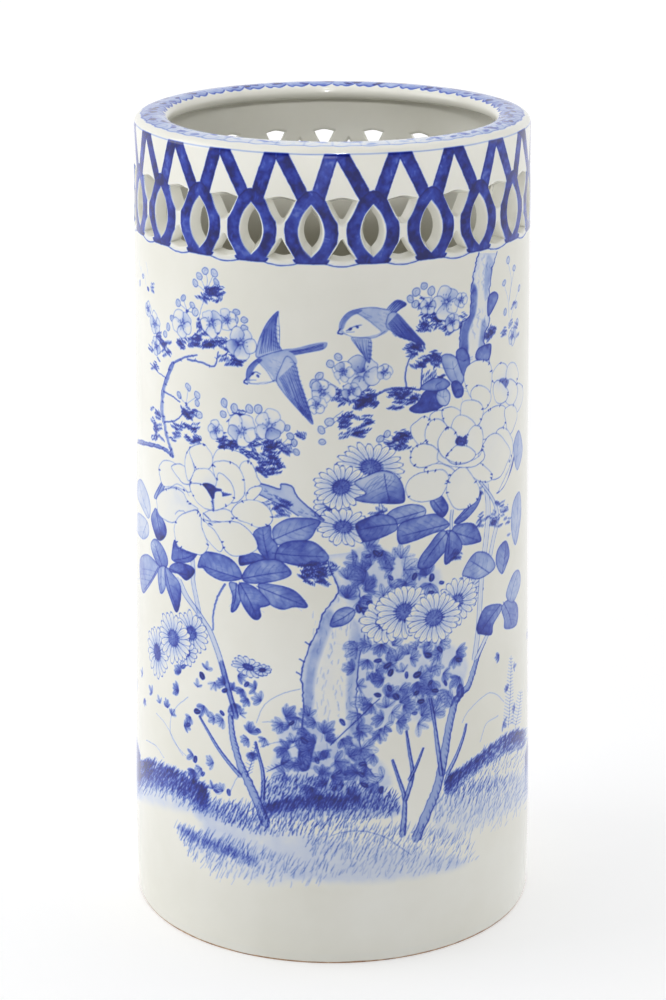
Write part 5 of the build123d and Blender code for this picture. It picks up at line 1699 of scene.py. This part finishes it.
def glaze(name, painted):
    m, nt, p = nodes_of(name)
    geo = nt.nodes.new("ShaderNodeTexCoord").outputs["Object"]
    # the body under the glaze: warm white with faint cloudiness and a few iron specks
    cloud = noise(nt, 9.0, 4.0, 0.55, geo)
    base = ramp(nt, cloud, [(0.30, lin(228, 227, 216)), (0.55, lin(235, 234, 225)), (0.75, lin(240, 240, 233))])
    vor = nt.nodes.new("ShaderNodeTexVoronoi"); vor.inputs["Scale"].default_value = 26.0
    nt.links.new(geo, vor.inputs["Vector"])
    pick = nt.nodes.new("ShaderNodeTexWhiteNoise"); nt.links.new(vor.outputs["Position"], pick.inputs["Vector"])
    rare = math_node(nt, "GREATER_THAN", pick.outputs["Value"], 0.975)
    near = math_node(nt, "LESS_THAN", vor.outputs["Distance"], 0.013)
    speck = math_node(nt, "MULTIPLY", rare, near)
    col = mix(nt, speck, base, lin(150, 118, 92))
    if painted:
        att = nt.nodes.new("ShaderNodeAttribute"); att.attribute_name = "ink"
        wob = noise(nt, 170.0, 3.0, 0.6, geo)
        fac = math_node(nt, "MULTIPLY", att.outputs["Fac"], math_node(nt, "ADD", math_node(nt, "MULTIPLY", wob, 0.30), 0.85), True)
        blue = ramp(nt, fac, [(0.0, lin(236, 236, 229)), (0.04, lin(232, 233, 229)), (0.13, lin(208, 216, 232)), (0.30, lin(160, 178, 220)),
                              (0.50, lin(98, 122, 198)), (0.70, lin(42, 66, 172)), (0.86, lin(17, 36, 140)), (1.0, lin(7, 17, 98))])
        amount = math_node(nt, "MULTIPLY", fac, 9.0, True)
        col = mix(nt, amount, col, blue)
        # painted shade: the negative ink of the inside mixes in a dull grey
        painted_shade_amount = math_node(nt, "MULTIPLY", att.outputs["Fac"], -0.85, True)
        col = mix(nt, painted_shade_amount, col, lin(176, 172, 154))
    nt.links.new(col, p.inputs["Base Color"])
    rr = math_node(nt, "ADD", math_node(nt, "MULTIPLY", noise(nt, 30.0, 3.0, 0.5, geo), 0.06), 0.07)
    nt.links.new(rr, p.inputs["Roughness"])
    p.inputs["IOR"].default_value = 1.50
    b = nt.nodes.new("ShaderNodeBump"); b.inputs["Strength"].default_value = 0.12; b.inputs["Distance"].default_value = 0.0006
    nt.links.new(math_node(nt, "ADD", noise(nt, 28.0, 2.0, 0.5, geo), math_node(nt, "MULTIPLY", noise(nt, 330.0, 2.0, 0.5, geo), 0.06)), b.inputs["Height"])
    nt.links.new(b.outputs[0], p.inputs["Normal"])
    return m


def bisque(name):
    """The foot: glazed down its side, bare clay where it stands."""
    m, nt, p = nodes_of(name)
    geo = nt.nodes.new("ShaderNodeTexCoord").outputs["Object"]
    sep = nt.nodes.new("ShaderNodeSeparateXYZ"); nt.links.new(geo, sep.inputs[0])
    edge = math_node(nt, "ADD", math_node(nt, "MULTIPLY", noise(nt, 24.0, 4.0, 0.6, geo), 0.0026), 0.0002)
    bare = math_node(nt, "MULTIPLY", math_node(nt, "SUBTRACT", edge, sep.outputs["Z"]), 2600.0, True)
    clay = ramp(nt, noise(nt, 120.0, 5.0, 0.65, geo), [(0.30, lin(128, 92, 66)), (0.52, lin(176, 143, 112)), (0.72, lin(206, 186, 160))])
    white = ramp(nt, noise(nt, 9.0, 4.0, 0.55, geo), [(0.30, lin(227, 226, 216)), (0.72, lin(239, 239, 232))])
    nt.links.new(mix(nt, bare, white, clay), p.inputs["Base Color"])
    nt.links.new(math_node(nt, "ADD", math_node(nt, "MULTIPLY", bare, 0.65), 0.12), p.inputs["Roughness"])
    b = nt.nodes.new("ShaderNodeBump"); b.inputs["Strength"].default_value = 0.2; b.inputs["Distance"].default_value = 0.0005
    nt.links.new(noise(nt, 400.0, 3.0, 0.6, geo), b.inputs["Height"]); nt.links.new(b.outputs[0], p.inputs["Normal"])
    return m


painted = glaze("painted_glaze", True)
clear = glaze("clear_glaze", False)
clay = bisque("unglazed_clay")

for ob, node, slot in (
        (foot_piece(clay), "foot_ring", "unglazed_clay"),
        (slab_piece(clear), "base_slab", "clear_glaze"),
        (closed_wall("lower_wall_painted", Z_SLAB, Z_JOIN, 416, painted, True), "lower_wall", "painted_glaze"),
        (closed_wall("upper_wall_painted", Z_JOIN, Z_GAL, 424, painted), "upper_wall", "painted_glaze"),
        (gallery(painted), "pierced_gallery", "painted_glaze"),
        (rim_piece(painted), "rim_flange", "painted_glaze")):
    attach(ob, "root"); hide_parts(node)

# ----------------------------------------------------------------------- stage
n = 24
gx = np.linspace(-14.0, 14.0, n)
fv = [(x, y, 0.0) for y in gx for x in gx]
ff = [(j * n + i, j * n + i + 1, (j + 1) * n + i + 1, (j + 1) * n + i) for j in range(n - 1) for i in range(n - 1)]
fme = bpy.data.meshes.new("floor"); fme.from_pydata(fv, [], ff); fme.update()
floor = bpy.data.objects.new("floor", fme); bpy.context.scene.collection.objects.link(floor)
fm = bpy.data.materials.new("sweep"); fm.use_nodes = True
fnt = fm.node_tree; fnt.nodes.clear()
fo = fnt.nodes.new("ShaderNodeOutputMaterial"); fd = fnt.nodes.new("ShaderNodeBsdfDiffuse"); fe = fnt.nodes.new("ShaderNodeEmission")
fa = fnt.nodes.new("ShaderNodeAddShader")
fd.inputs[0].default_value = (0.70, 0.70, 0.70, 1.0); fe.inputs[0].default_value = (1.0, 1.0, 1.0, 1.0); fe.inputs[1].default_value = 0.42
fc = fnt.nodes.new("ShaderNodeTexCoord"); fs = fnt.nodes.new("ShaderNodeSeparateXYZ"); fr = fnt.nodes.new("ShaderNodeMapRange")
fnt.links.new(fc.outputs["Object"], fs.inputs[0]); fnt.links.new(fs.outputs["Y"], fr.inputs[0])
fr.inputs["From Min"].default_value = 0.6; fr.inputs["From Max"].default_value = 3.2
fr.inputs["To Min"].default_value = 0.395; fr.inputs["To Max"].default_value = 0.56
fnt.links.new(fr.outputs[0], fe.inputs[1])
fnt.links.new(fd.outputs[0], fa.inputs[0]); fnt.links.new(fe.outputs[0], fa.inputs[1]); fnt.links.new(fa.outputs[0], fo.inputs[0])
fme.materials.append(fm)

world = bpy.data.worlds.new("studio"); bpy.context.scene.world = world; world.use_nodes = True
wn = world.node_tree; wn.nodes.clear()
wo = wn.nodes.new("ShaderNodeOutputWorld"); wb = wn.nodes.new("ShaderNodeBackground")
wc = wn.nodes.new("ShaderNodeTexCoord"); ws = wn.nodes.new("ShaderNodeSeparateXYZ"); wr = wn.nodes.new("ShaderNodeMapRange")
wn.links.new(wc.outputs["Generated"], ws.inputs[0]); wn.links.new(ws.outputs["Y"], wr.inputs[0])
wr.inputs["From Min"].default_value = -0.95; wr.inputs["From Max"].default_value = 0.35
wr.inputs["To Min"].default_value = 0.11; wr.inputs["To Max"].default_value = 0.98
wb.inputs[0].default_value = (1.0, 1.0, 1.0, 1.0)
wn.links.new(wr.outputs[0], wb.inputs[1]); wn.links.new(wb.outputs[0], wo.inputs[0])


def lamp(name, at, to, size, size_y, watts, color=(1, 1, 1)):
    l = bpy.data.lights.new(name, "AREA"); l.shape = "RECTANGLE"; l.size = size; l.size_y = size_y
    l.energy = watts; l.color = color
    o = bpy.data.objects.new(name, l); bpy.context.scene.collection.objects.link(o)
    o.location = at
    d = np.array(to, float) - np.array(at, float)
    import mathutils
    o.rotation_mode = "QUATERNION"; o.rotation_quaternion = mathutils.Vector(d).to_track_quat("-Z", "Y")
    return o


lamp("left_bank", (-2.2, -0.1, 1.4), (0, 0, 0.35), 1.6, 2.2, 20)
lamp("right_bank", (2.1, 0.3, 1.3), (0, 0, 0.35), 1.6, 2.2, 5)
lamp("top_left", (-1.1, -1.0, 2.4), (0, 0, 0.5), 0.7, 0.7, 3)
lamp("low_front", (-0.3, -2.6, 0.45), (0, 0, 0.0), 0.8, 0.4, 2.8)


def spot(name, at_, to_, degrees_, watts):
    l = bpy.data.lights.new(name, "SPOT"); l.energy = watts; l.shadow_soft_size = 0.10
    l.spot_size = math.radians(degrees_); l.spot_blend = 0.5
    o = bpy.data.objects.new(name, l); bpy.context.scene.collection.objects.link(o)
    o.location = at_
    import mathutils
    o.rotation_mode = "QUATERNION"; o.rotation_quaternion = mathutils.Vector(np.array(to_, float) - np.array(at_, float)).to_track_quat("-Z", "Y")


spot("over_mouth", (0.05, -0.55, 1.75), (0.0, 0.03, 0.58), 13.5, 7.0)
spot("into_mouth", (0.10, -1.50, 1.22), (0.0, 0.14, 0.605), 10.0, 36.0)

view = bpy.context.scene.view_settings
view.view_transform = "Standard"
view.look = "None"
